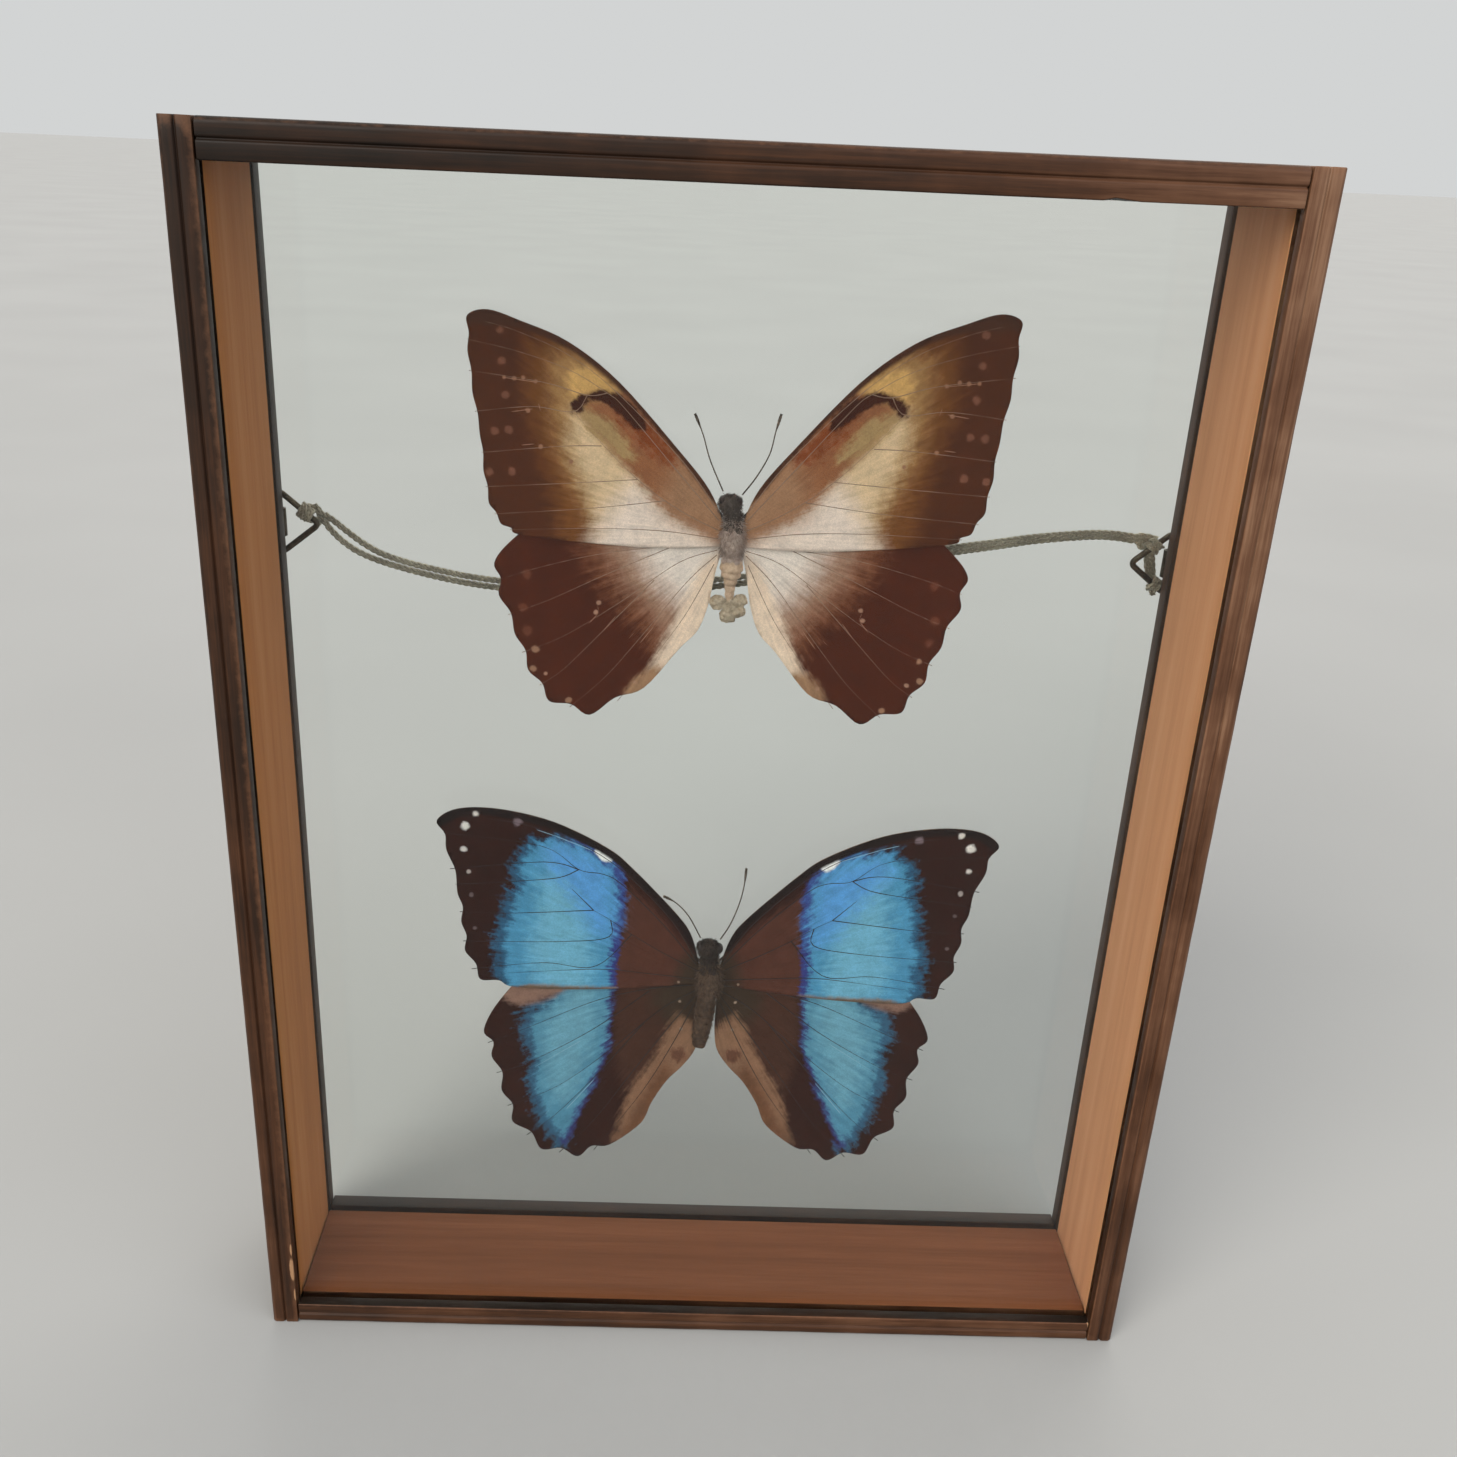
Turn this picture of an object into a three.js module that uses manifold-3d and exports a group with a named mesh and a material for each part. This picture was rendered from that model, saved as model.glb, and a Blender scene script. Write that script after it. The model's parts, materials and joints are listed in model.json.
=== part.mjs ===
// A small glazed wooden frame with two dried butterflies fixed between its panes,
// and a doubled cord hanging between two wire rings on its back.
// Millimetres, +X right, +Y to the back, +Z up. The frame stands on its foot at Z 0, and the
// origin is under the middle of the frame and its metal hangers.

import * as THREE from "three";
import { mergeVertices } from "three/addons/utils/BufferGeometryUtils.js";
import Module from "manifold-3d";

const wasm = await Module();
wasm.setup();

// Driving dimensions of the frame
const OPENING_WIDTH = 190;
const OPENING_HEIGHT = 251.5;
const STILE = 6;
const TOP_RAIL = 7;
const BOTTOM_RAIL = 5.5;
const BOX_DEPTH = 40;
const TOUCH = 0.3;

// Glass and the saw kerfs that hold it, as depths from the front face
const PANE = 2;
const FRONT_LIP = 2.7;
const BACK_LIP = 4;
const KERF = PANE + 2 * TOUCH;
const KERF_DEPTH = 2.5;

// Fine line down the middle of each board's front edge, and the softened outer arris
const GROOVE_WIDTH = 0.8;
const GROOVE_DEPTH = 0.6;
const ARRIS = 1.2;

// Hangers: wire ring in a folded strap, held by one screw
const WIRE_RADIUS = 0.65;
const SHEET = 0.4;
const STRAP_HEIGHT = 6;
const STRAP_LENGTH = 4.3;
const LOOP_INSIDE = WIRE_RADIUS + TOUCH;
const LOOP_OUTSIDE = LOOP_INSIDE + SHEET;
const SCREW_OFFSET = 3.1;
const SHANK_RADIUS = 0.6;
const SCREW_LENGTH = 6.5;
const HEAD_RADIUS = 1.3;
const RING_SIDE = 96.3;
const RING_HEIGHT_LEFT = 184.9;
const RING_HEIGHT_RIGHT = 183.1;
const RING_REACH = 8.3;
const RING_TOP = 6.85;
const RING_LOW = -6.75;
const RING_APEX = -0.25;

// Cord and its knots
const CORD_RADIUS = 0.65;
const KNOT_CORD = 0.6;

// Butterflies: places of the thorax centres, and depths from the front face
const UPPER_CENTRE = [0.35, 188];
const LOWER_CENTRE = [0.1, 80.5];
const BODY_DEPTH = 29.7;
const FOREWING_DEPTH = 30;
const HINDWING_DEPTH = 30.7;
const WING_THICKNESS = 0.4;
const LEG_RADIUS = 0.22;
const ANTENNA_RADIUS = 0.2;

// Worked out from the above
const WIDTH = OPENING_WIDTH + 2 * STILE;
const HEIGHT = OPENING_HEIGHT + TOP_RAIL + BOTTOM_RAIL;
const FRONT_KERF = FRONT_LIP + KERF / 2;
const BACK_KERF = BOX_DEPTH - BACK_LIP - KERF / 2;
const RING_DEPTH = BOX_DEPTH + TOUCH + LOOP_OUTSIDE;
const FULL_DEPTH = RING_DEPTH + LOOP_OUTSIDE;
const STRAP_TOP = RING_DEPTH - LOOP_OUTSIDE + 2 * SHEET;

// Wing outlines, in millimetres outward and up from the thorax centre. Tips are where the
// veins meet the outer margin, and the margin dips by the notch between two tips.
const WINGS = {
  upper_forewing: {
    depth: FOREWING_DEPTH,
    leading: [[2, 3], [5.2, 9.8], [11.6, 17.5], [24, 30.7], [34.2, 38.2], [43.6, 41.9], [50, 43.8], [54, 42.6]],
    tips: [[54, 42.6], [54.1, 35.9], [53.3, 27.8], [52, 19.5], [51.4, 12.2], [50.4, 5.5], [48, 1.2], [44.1, -1]],
    notch: 0.3,
    inner: [[44.1, -1], [30, -2.2], [15, -2.8], [2, -2]],
  },
  upper_hindwing: {
    depth: HINDWING_DEPTH,
    leading: [[2, 0.5], [15, 3], [30, 3.8], [40, 2], [46.5, -3], [49.6, -7.4]],
    tips: [[49.6, -7.4], [48.7, -14.3], [45.4, -22.8], [42.6, -30.9], [38.1, -37.9], [29.2, -40.8], [17.5, -34.1]],
    notch: 0.9,
    inner: [[17.5, -34.1], [10.1, -24.9], [6.4, -20.7], [4.4, -15], [3.2, -8], [2, -3]],
  },
  lower_forewing: {
    depth: FOREWING_DEPTH,
    leading: [[2.2, 3], [4.3, 11.4], [8, 17.4], [18.7, 29.3], [24.8, 34.5], [36.6, 40.6], [48.5, 43.5], [58, 43.4], [62.9, 40.4]],
    tips: [[62.9, 40.4], [61, 33], [58.8, 21.9], [58.1, 14.3], [57.4, 6.5], [54, -1.3], [45.7, -3.3]],
    notch: 0.8,
    inner: [[45.7, -3.3], [30, -3.5], [15, -2.5], [2.2, -1]],
  },
  lower_hindwing: {
    depth: HINDWING_DEPTH,
    leading: [[2, 2], [15, 3.5], [30, 2.8], [42, 0.5], [49.6, -7.6], [53.5, -15.9]],
    tips: [[53.5, -15.9], [51.7, -23.4], [49.4, -33.3], [46.8, -42.5], [39.7, -50.5], [30.6, -52.7], [22.7, -49]],
    notch: 1.4,
    inner: [[22.7, -49], [15.1, -42.3], [12.5, -35.9], [9, -29.5], [5.3, -25], [2.4, -20], [1.7, -14], [2, -6]],
  },
};

// How far each right wing is turned up about the thorax centre, in degrees, and its scale
const RIGHT_SET = {
  upper_forewing: [1.75, 1.035],
  upper_hindwing: [0.75, 1.01],
  lower_forewing: [-1.75, 1.005],
  lower_hindwing: [1.5, 1],
};

// Bodies as overlapping rounded lumps: [x, z, half width, half thickness, half height],
// counted from the thorax centre
const UPPER_LUMPS = [
  [-0.8, 7, 2.35, 2.1, 2.2],
  [-2.3, 7.8, 0.9, 1.1, 1.1],
  [0.9, 7.7, 0.9, 1.1, 1.1],
  [0, 4.6, 1.9, 1.8, 1.6],
  [0, -0.3, 2.35, 2.3, 5.6],
];
const LOWER_LUMPS = [
  [-0.3, 8.6, 2.7, 2.3, 2.5],
  [-2.3, 9.3, 1, 1.2, 1.2],
  [2, 8.9, 1.1, 1.2, 1.2],
  [0, 5.6, 2.1, 2, 1.8],
  [0.1, 0.5, 2.7, 2.4, 6.2],
];
const UPPER_RESIDUE = [
  [-2.3, -14.3, 1.5, 1.3, 1.3],
  [2, -13.6, 1.3, 1.2, 1.2],
  [2, -16, 1.2, 1.1, 1.2],
  [-0.1, -17, 1.5, 1.3, 1.4],
  [0, -14.7, 1.3, 1.1, 1.5],
];

// Abdomens: [x, z] of both ends from the thorax centre, and the radius at each ring between.
// The upper one is a shrunken stump, and the lower one leans a little to the left.
const UPPER_ABDOMEN = { start: [0.2, -4.2], end: [-0.1, -12.2], radii: [1.7, 2, 1.7, 1.2, 1.05, 0.9] };
const LOWER_ABDOMEN = { start: [0, -3.6], end: [-1.6, -18.6], radii: [2, 2.4, 2.45, 2.4, 2.3, 2.2, 2.05, 1.7] };

// One pair of legs folded against the underside: [outward, up, depth] from root to foot.
// The second pair is the same, reflected in the thorax's middle.
const LEG = [[1, 2.6, 31.2], [4.4, 5.6, 32.3], [6.6, 1.2, 32.8], [8.2, -2, 33.2]];

// Antennae: [x, z] from the thorax centre, from the head to the tip
const ANTENNAE = {
  upper_antenna_left: [[-2.4, 9.7], [-5.3, 15.9], [-7, 21.1], [-8.8, 25.2]],
  upper_antenna_right: [[1.6, 9.1], [4.3, 12.9], [6.7, 17.6], [7.7, 22.3], [8.6, 25.8]],
  lower_antenna_left: [[-2.4, 11.6], [-5.3, 17.1], [-8.3, 20.5], [-11.4, 22.3]],
  lower_antenna_right: [[2.3, 11.3], [4.4, 15.3], [6.2, 20.7], [7.1, 25.6], [7.4, 30.2]],
};

// Routes of the cord's two strands, from the left knot to the right one: [x, depth, z]
const CORD_UPPER = [
  [-87.1, 43.4, 186.3], [-85.2, 43.4, 185], [-82.5, 43.4, 182.8], [-79, 43.4, 180.2], [-75, 43.5, 178],
  [-70, 43.6, 176.4], [-64.5, 43.7, 175.1], [-57, 43.8, 173.7], [-50, 43.9, 172.9], [-36.4, 44, 172],
  [-18.8, 44.1, 172.8], [3.1, 44.2, 175.7], [26.9, 44.1, 180], [47.4, 43.9, 183.9], [59.3, 43.7, 186],
  [67.8, 43.6, 187.5], [78.6, 43.5, 188.7], [84, 43.4, 188.8], [88.8, 43.4, 188.3],
];
const CORD_LOWER = [
  [-87.1, 43.4, 184.6], [-85.9, 43.4, 182.9], [-83, 43.4, 180.1], [-79.4, 43.4, 177.9], [-75, 43.5, 176.2],
  [-70, 43.6, 174.8], [-64.5, 43.7, 173.5], [-57, 43.8, 172.1], [-50, 43.9, 171.3], [-36.4, 44, 170.4],
  [-18.8, 44.2, 171.2], [3.1, 44.4, 174.1], [26.9, 44.6, 178.5], [47.4, 44.6, 182.5], [59.3, 44.6, 184.7],
  [67.8, 44.6, 186.3], [78.6, 44.6, 187.6], [84, 44.6, 187.7], [88.8, 44.5, 187.2],
];

// Finishes
const finish = (color, roughness, metalness = 0) => new THREE.MeshStandardMaterial({ color, roughness, metalness });
const STAINED_WOOD = finish(0x4f3628, 0.55);
const GLASS = new THREE.MeshStandardMaterial({ color: 0xe9f1ee, roughness: 0.05, transparent: true, opacity: 0.25 });
const BROWN_WING = finish(0x7a5238, 0.85);
const BLUE_WING = finish(0x3f7ba0, 0.6);
const HAIRY_BODY = finish(0x3d3028, 0.95);
const DRY_RESIDUE = finish(0x8f8578, 0.9);
const CLEAR_GLUE = finish(0xd8d2c0, 0.3);
const DARK_METAL = finish(0x4a4438, 0.45, 0.9);
const GREY_CORD = finish(0x7f7a6c, 0.95);

const object = new THREE.Group();
object.position.y = -FULL_DEPTH / 2;

function add(name, geometry, material, position = [0, 0, 0], turnY = 0) {
  const mesh = new THREE.Mesh(geometry, material);
  mesh.name = name;
  mesh.position.set(...position);
  mesh.rotation.y = turnY;
  object.add(mesh);
}

// Solids for joining and cutting
function toSolid(geometry) {
  const bare = geometry.clone();
  bare.deleteAttribute("normal");
  bare.deleteAttribute("uv");
  const merged = mergeVertices(bare, 1e-4);
  return new wasm.Manifold(
    new wasm.Mesh({
      numProp: 3,
      vertProperties: new Float32Array(merged.attributes.position.array),
      triVerts: new Uint32Array(merged.index.array),
    }),
  );
}

function toGeometry(solid) {
  const mesh = solid.getMesh();
  const geometry = new THREE.BufferGeometry();
  geometry.setAttribute("position", new THREE.BufferAttribute(new Float32Array(mesh.vertProperties), 3));
  geometry.setIndex(new THREE.BufferAttribute(new Uint32Array(mesh.triVerts), 1));
  geometry.computeVertexNormals();
  return geometry;
}

function join(...geometries) {
  return toGeometry(geometries.map(toSolid).reduce((whole, next) => whole.add(next)));
}

// Cuts and keeps the largest piece, so that no sliver is left beside it
function cut(geometry, ...cutters) {
  const solid = cutters.map(toSolid).reduce((rest, cutter) => rest.subtract(cutter), toSolid(geometry));
  const pieces = solid.decompose();
  pieces.sort((one, other) => other.volume() - one.volume());
  return toGeometry(pieces[0]);
}

// Basic shapes
function box(low, high) {
  const size = high.map((value, axis) => value - low[axis]);
  const centre = high.map((value, axis) => (value + low[axis]) / 2);
  return new THREE.BoxGeometry(...size).translate(...centre);
}

function rod(points, radius, sides, steps) {
  const curve = new THREE.CatmullRomCurve3(points.map((point) => new THREE.Vector3(...point)), false, "centripetal");
  return tube(curve, radius, sides, steps);
}

function tube(curve, radius, sides, steps) {
  const section = new THREE.Shape();
  section.absarc(0, 0, radius, 0, 2 * Math.PI);
  return new THREE.ExtrudeGeometry(section, { steps, extrudePath: curve, curveSegments: sides / 2, bevelEnabled: false });
}

// A rounded lump, with its widths swelled by extra
function lump([x, z, halfWidth, halfThickness, halfHeight], [centreX, centreZ], extra = 0) {
  return new THREE.SphereGeometry(1, 10, 6)
    .scale(halfWidth + extra, halfThickness + extra, halfHeight + extra)
    .translate(centreX + x, BODY_DEPTH, centreZ + z);
}

// Frame
// Section of a board seen along its length: x runs from the outer face inward, y to the back
function boardSection(thickness) {
  const middle = thickness / 2;
  const section = new THREE.Shape();
  section.moveTo(0, ARRIS);
  section.absarc(ARRIS, ARRIS, ARRIS, Math.PI, 1.5 * Math.PI);
  section.lineTo(middle - GROOVE_WIDTH / 2, 0);
  section.lineTo(middle, GROOVE_DEPTH);
  section.lineTo(middle + GROOVE_WIDTH / 2, 0);
  section.lineTo(thickness, 0);
  section.lineTo(thickness, BOX_DEPTH);
  section.lineTo(0, BOX_DEPTH);
  return section;
}

function kerf(thickness, depth, start, end) {
  return box(
    [thickness - KERF_DEPTH, depth - KERF / 2, start],
    [thickness + 1, depth + KERF / 2, end],
  );
}

function board(thickness, length, kerfStart, kerfEnd, holes = []) {
  const blank = new THREE.ExtrudeGeometry(boardSection(thickness), { depth: length, bevelEnabled: false, curveSegments: 5 });
  return cut(blank, kerf(thickness, FRONT_KERF, kerfStart, kerfEnd), kerf(thickness, BACK_KERF, kerfStart, kerfEnd), ...holes);
}

// Hole for a hanger's screw, in a stile's own section, with room round the shank
function screwHole(height) {
  const depth = SCREW_LENGTH;
  return new THREE.CylinderGeometry(SHANK_RADIUS + TOUCH, SHANK_RADIUS + TOUCH, depth, 12)
    .translate(WIDTH / 2 - RING_SIDE - SCREW_OFFSET, BOX_DEPTH + 1 - depth / 2, height);
}

function addFrame() {
  const railLength = OPENING_WIDTH - 2 * TOUCH;
  const kerfLow = BOTTOM_RAIL - KERF_DEPTH;
  const kerfHigh = HEIGHT - TOP_RAIL + KERF_DEPTH;
  const left = board(STILE, HEIGHT, kerfLow, kerfHigh, [screwHole(RING_HEIGHT_LEFT)]);
  const right = board(STILE, HEIGHT, HEIGHT - kerfHigh, HEIGHT - kerfLow, [screwHole(HEIGHT - RING_HEIGHT_RIGHT)]);
  const top = board(TOP_RAIL, railLength, -1, railLength + 1);
  const bottom = board(BOTTOM_RAIL, railLength, -1, railLength + 1);
  add("stile_left", left, STAINED_WOOD, [-WIDTH / 2, 0, 0]);
  add("stile_right", right, STAINED_WOOD, [WIDTH / 2, 0, HEIGHT], Math.PI);
  add("rail_top", top, STAINED_WOOD, [-railLength / 2, 0, HEIGHT], Math.PI / 2);
  add("rail_bottom", bottom, STAINED_WOOD, [railLength / 2, 0, 0], -Math.PI / 2);
}

function addPanes() {
  const lap = KERF_DEPTH - TOUCH;
  for (const [name, depth] of [["pane_front", FRONT_KERF], ["pane_back", BACK_KERF]]) {
    const pane = box(
      [-OPENING_WIDTH / 2 - lap, depth - PANE / 2, BOTTOM_RAIL - lap],
      [OPENING_WIDTH / 2 + lap, depth + PANE / 2, HEIGHT - TOP_RAIL + lap],
    );
    add(name, pane, GLASS);
  }
}

// Butterflies
function smooth(points, count) {
  return new THREE.SplineCurve(points.map((point) => new THREE.Vector2(...point))).getPoints(count);
}

// The outer margin: through each tip, with a dip towards the body between two tips
function marginPoints(tips, notch) {
  const points = [];
  tips.forEach((tip, index) => {
    points.push(tip);
    const next = tips[index + 1];
    if (next) {
      const along = new THREE.Vector2(next[0] - tip[0], next[1] - tip[1]).normalize();
      points.push([(tip[0] + next[0]) / 2 + along.y * notch, (tip[1] + next[1]) / 2 - along.x * notch]);
    }
  });
  return points;
}

function wingShape(wing, side, turn, scale) {
  const margin = marginPoints(wing.tips, wing.notch);
  const outline = [
    ...smooth(wing.leading, 2 * wing.leading.length),
    ...smooth(margin, 2 * (margin.length - 1)).slice(1),
    ...smooth(wing.inner, 2 * wing.inner.length).slice(1),
  ];
  const centre = new THREE.Vector2(0, 0);
  for (const point of outline) {
    point.rotateAround(centre, THREE.MathUtils.degToRad(turn)).multiplyScalar(scale);
    point.x *= side;
  }
  return new THREE.Shape(outline);
}

// A wing is a thin plate, cut back so that it just clears the body
function wingPlate(wing, side, turn, scale, lumps, tail, [centreX, centreZ]) {
  const plate = new THREE.ExtrudeGeometry(wingShape(wing, side, turn, scale), { depth: WING_THICKNESS, bevelEnabled: false });
  plate.rotateX(Math.PI / 2);
  plate.translate(centreX, wing.depth + WING_THICKNESS / 2, centreZ);
  const clearance = lumps.map((each) => lump(each, [centreX, centreZ], TOUCH));
  return cut(plate, ...clearance, abdomen(tail, [centreX, centreZ], TOUCH));
}

function leg(side, direction, [centreX, centreZ]) {
  const points = LEG.map(([outward, up, depth]) => [centreX + side * outward, depth, centreZ + direction * up]);
  return rod(points, LEG_RADIUS, 6, 7);
}

// Rings that swell a little between their joints, turned about a line from start to end
function abdomen({ start, end, radii }, [centreX, centreZ], extra = 0) {
  const axis = new THREE.Vector3(end[0] - start[0], 0, end[1] - start[1]);
  const ring = axis.length() / radii.length;
  const profile = [[0, 0]];
  radii.forEach((radius, index) => {
    profile.push([radius * 0.93 + extra, (index + 0.08) * ring]);
    profile.push([radius + extra, (index + 0.6) * ring]);
  });
  profile.push([0, axis.length() + extra]);
  const turned = new THREE.LatheGeometry(profile.map((point) => new THREE.Vector2(...point)), 10);
  const lean = new THREE.Quaternion().setFromUnitVectors(new THREE.Vector3(0, 1, 0), axis.normalize());
  return turned.applyQuaternion(lean).translate(centreX + start[0], BODY_DEPTH, centreZ + start[1]);
}

function body(lumps, tail, centre) {
  const legs = [-1, 1].flatMap((side) => [-1, 1].map((direction) => leg(side, direction, centre)));
  return join(...lumps.map((each) => lump(each, centre)), abdomen(tail, centre), ...legs);
}

// A thin stalk with a slightly thicker club at its tip
function antenna(points, [centreX, centreZ]) {
  const route = points.map(([x, z]) => [centreX + x, BODY_DEPTH, centreZ + z]);
  const tip = route.at(-1);
  const club = new THREE.SphereGeometry(1, 6, 4).scale(0.4, 0.4, 0.9).translate(...tip);
  return join(rod(route, ANTENNA_RADIUS, 6, 9), club);
}

// Glue between the underside of the thorax and the back pane
function glue([centreX, centreZ]) {
  const back = BACK_KERF - PANE / 2 - TOUCH;
  const front = BODY_DEPTH + 2.7;
  const profile = [[0, front], [1.2, front], [1.5, (front + back) / 2], [2.2, back], [0, back]];
  return new THREE.LatheGeometry(profile.map((point) => new THREE.Vector2(...point)), 10).translate(centreX, 0, centreZ);
}

function addButterfly(kind, centre, lumps, tail, wingMaterial) {
  for (const part of ["forewing", "hindwing"]) {
    const name = `${kind}_${part}`;
    const [turn, scale] = RIGHT_SET[name];
    add(`${name}_left`, wingPlate(WINGS[name], -1, 0, 1, lumps, tail, centre), wingMaterial);
    add(`${name}_right`, wingPlate(WINGS[name], 1, turn, scale, lumps, tail, centre), wingMaterial);
  }
  for (const side of ["left", "right"]) {
    const name = `${kind}_antenna_${side}`;
    add(name, antenna(ANTENNAE[name], centre), HAIRY_BODY);
  }
  add(`${kind}_body`, body(lumps, tail, centre), HAIRY_BODY);
  add(`${kind}_glue`, glue(centre), CLEAR_GLUE);
}

// Hangers. Their own axes have x inward from the ring's straight side, z up.
function ringPath() {
  const corner = 1.4;
  const corners = [
    new THREE.Vector3(0, 0, RING_TOP),
    new THREE.Vector3(RING_REACH, 0, RING_APEX),
    new THREE.Vector3(0, 0, RING_LOW),
  ];
  const split = 0.3;
  const path = new THREE.CurvePath();
  let last = new THREE.Vector3(0, 0, split);
  corners.forEach((point, index) => {
    const next = corners[index + 1] ?? new THREE.Vector3(0, 0, -split);
    const before = point.clone().add(last.clone().sub(point).setLength(corner));
    const after = point.clone().add(next.clone().sub(point).setLength(corner));
    path.add(new THREE.LineCurve3(last, before));
    path.add(new THREE.QuadraticBezierCurve3(before, point, after));
    last = after;
  });
  path.add(new THREE.LineCurve3(last, new THREE.Vector3(0, 0, -split)));
  return path;
}

// A strip folded round the wire, with both layers lying on the stile
function strap() {
  const base = -LOOP_OUTSIDE;
  const top = base + 2 * SHEET;
  const meet = Math.asin(top / LOOP_OUTSIDE);
  const section = new THREE.Shape();
  section.moveTo(-STRAP_LENGTH, top);
  section.lineTo(-STRAP_LENGTH, base);
  section.lineTo(0, base);
  section.absarc(0, 0, LOOP_OUTSIDE, -Math.PI / 2, Math.PI - meet, false);
  const eye = new THREE.Path();
  eye.absarc(0, 0, LOOP_INSIDE, 0, 2 * Math.PI);
  section.holes.push(eye);
  const fold = new THREE.ExtrudeGeometry(section, { depth: STRAP_HEIGHT, bevelEnabled: false, curveSegments: 7 });
  fold.translate(0, 0, -STRAP_HEIGHT / 2);
  const hole = new THREE.CylinderGeometry(SHANK_RADIUS + TOUCH, SHANK_RADIUS + TOUCH, 4, 12).translate(-SCREW_OFFSET, base, 0);
  return cut(fold, hole);
}

function screw() {
  const profile = [
    [0, -SCREW_LENGTH + 0.6], [SHANK_RADIUS, -SCREW_LENGTH + 1.8], [SHANK_RADIUS, 0], [HEAD_RADIUS, 0],
    [HEAD_RADIUS, 0.3], [1.05, 0.7], [0.6, 0.93], [0, 1],
  ];
  const turned = new THREE.LatheGeometry(profile.map((point) => new THREE.Vector2(...point)), 10);
  const slot = box([-2, 0.55, -0.2], [2, 2, 0.2]);
  return cut(turned, slot);
}

// One turn of cord round the wire, where the wire passes the point and runs along the direction
function cordTurn(point, direction) {
  const axis = new THREE.Vector3(...direction).normalize();
  const lean = new THREE.Quaternion().setFromUnitVectors(new THREE.Vector3(0, 0, 1), axis);
  return new THREE.TorusGeometry(LOOP_INSIDE + KNOT_CORD, KNOT_CORD, 6, 12)
    .applyQuaternion(lean)
    .translate(...point);
}

function upperLeg(inward) {
  return [inward, 0, RING_TOP + (inward * (RING_APEX - RING_TOP)) / RING_REACH];
}

function lowerLeg(inward) {
  return [inward, 0, RING_LOW + (inward * (RING_APEX - RING_LOW)) / RING_REACH];
}

// The knots are counted from the middle of their ring's straight side
function knotLump(centre, halfSizes) {
  return new THREE.SphereGeometry(1, 10, 6).scale(...halfSizes).translate(...centre);
}

function knotLeft() {
  const along = [RING_REACH, 0, RING_APEX - RING_TOP];
  return join(
    cordTurn(upperLeg(5), along),
    cordTurn(upperLeg(5.7), along),
    knotLump([6.6, 1.65, 1], [2, 0.7, 2]),
  );
}

function knotRight() {
  const along = [RING_REACH, 0, RING_APEX - RING_TOP];
  const back = [RING_REACH, 0, RING_APEX - RING_LOW];
  return join(
    cordTurn(upperLeg(3.4), along),
    cordTurn(upperLeg(4.4), along),
    knotLump([4.6, 1.75, 4.6], [2.6, 0.8, 1.8]),
    rod([[4.6, 1.6, 3.6], [4.1, 1.6, 0.5], [3.4, 1.6, -2.6], [2.9, 1.6, -4.4]], KNOT_CORD, 6, 5),
    rod([[3.6, 1.6, 3.6], [3.1, 1.6, 0.5], [2.5, 1.6, -2.6], [2.1, 1.6, -4.6]], KNOT_CORD, 6, 5),
    cordTurn(lowerLeg(2.4), back),
    rod([[2.3, 1.7, -4.6], [1.9, 1.6, -6.2], [1.6, 1.3, -7.6]], KNOT_CORD, 6, 3),
  );
}

// A hanger's piece turned about the upright axis on the right, so that its x runs inward
function addHangers() {
  for (const [side, sign, height, knot] of [["left", -1, RING_HEIGHT_LEFT, knotLeft], ["right", 1, RING_HEIGHT_RIGHT, knotRight]]) {
    const place = [sign * RING_SIDE, RING_DEPTH, height];
    const inward = (geometry) => toGeometry(mirrored(toSolid(geometry), sign));
    const ring = tube(ringPath(), WIRE_RADIUS, 8, 36);
    add(`hanger_strap_${side}`, inward(strap()), DARK_METAL, place);
    add(`hanger_ring_${side}`, inward(ring), DARK_METAL, place);
    add(`knot_${side}`, inward(knot()), GREY_CORD, place);
    add(`hanger_screw_${side}`, screw(), DARK_METAL, [sign * (RING_SIDE + SCREW_OFFSET), STRAP_TOP + TOUCH, height]);
  }
}

function mirrored(solid, sign) {
  return sign > 0 ? solid.mirror([1, 0, 0]) : solid;
}

function addCord() {
  for (const [name, route] of [["cord_upper", CORD_UPPER], ["cord_lower", CORD_LOWER]]) {
    add(name, rod(route, CORD_RADIUS, 8, 38), GREY_CORD);
  }
}

function residue() {
  return join(...UPPER_RESIDUE.map((each) => lump(each, UPPER_CENTRE)));
}

addFrame();
addPanes();
addButterfly("upper", UPPER_CENTRE, UPPER_LUMPS, UPPER_ABDOMEN, BROWN_WING);
addButterfly("lower", LOWER_CENTRE, LOWER_LUMPS, LOWER_ABDOMEN, BLUE_WING);
add("upper_residue", residue(), DRY_RESIDUE);
addHangers();
addCord();

export default object;
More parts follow.
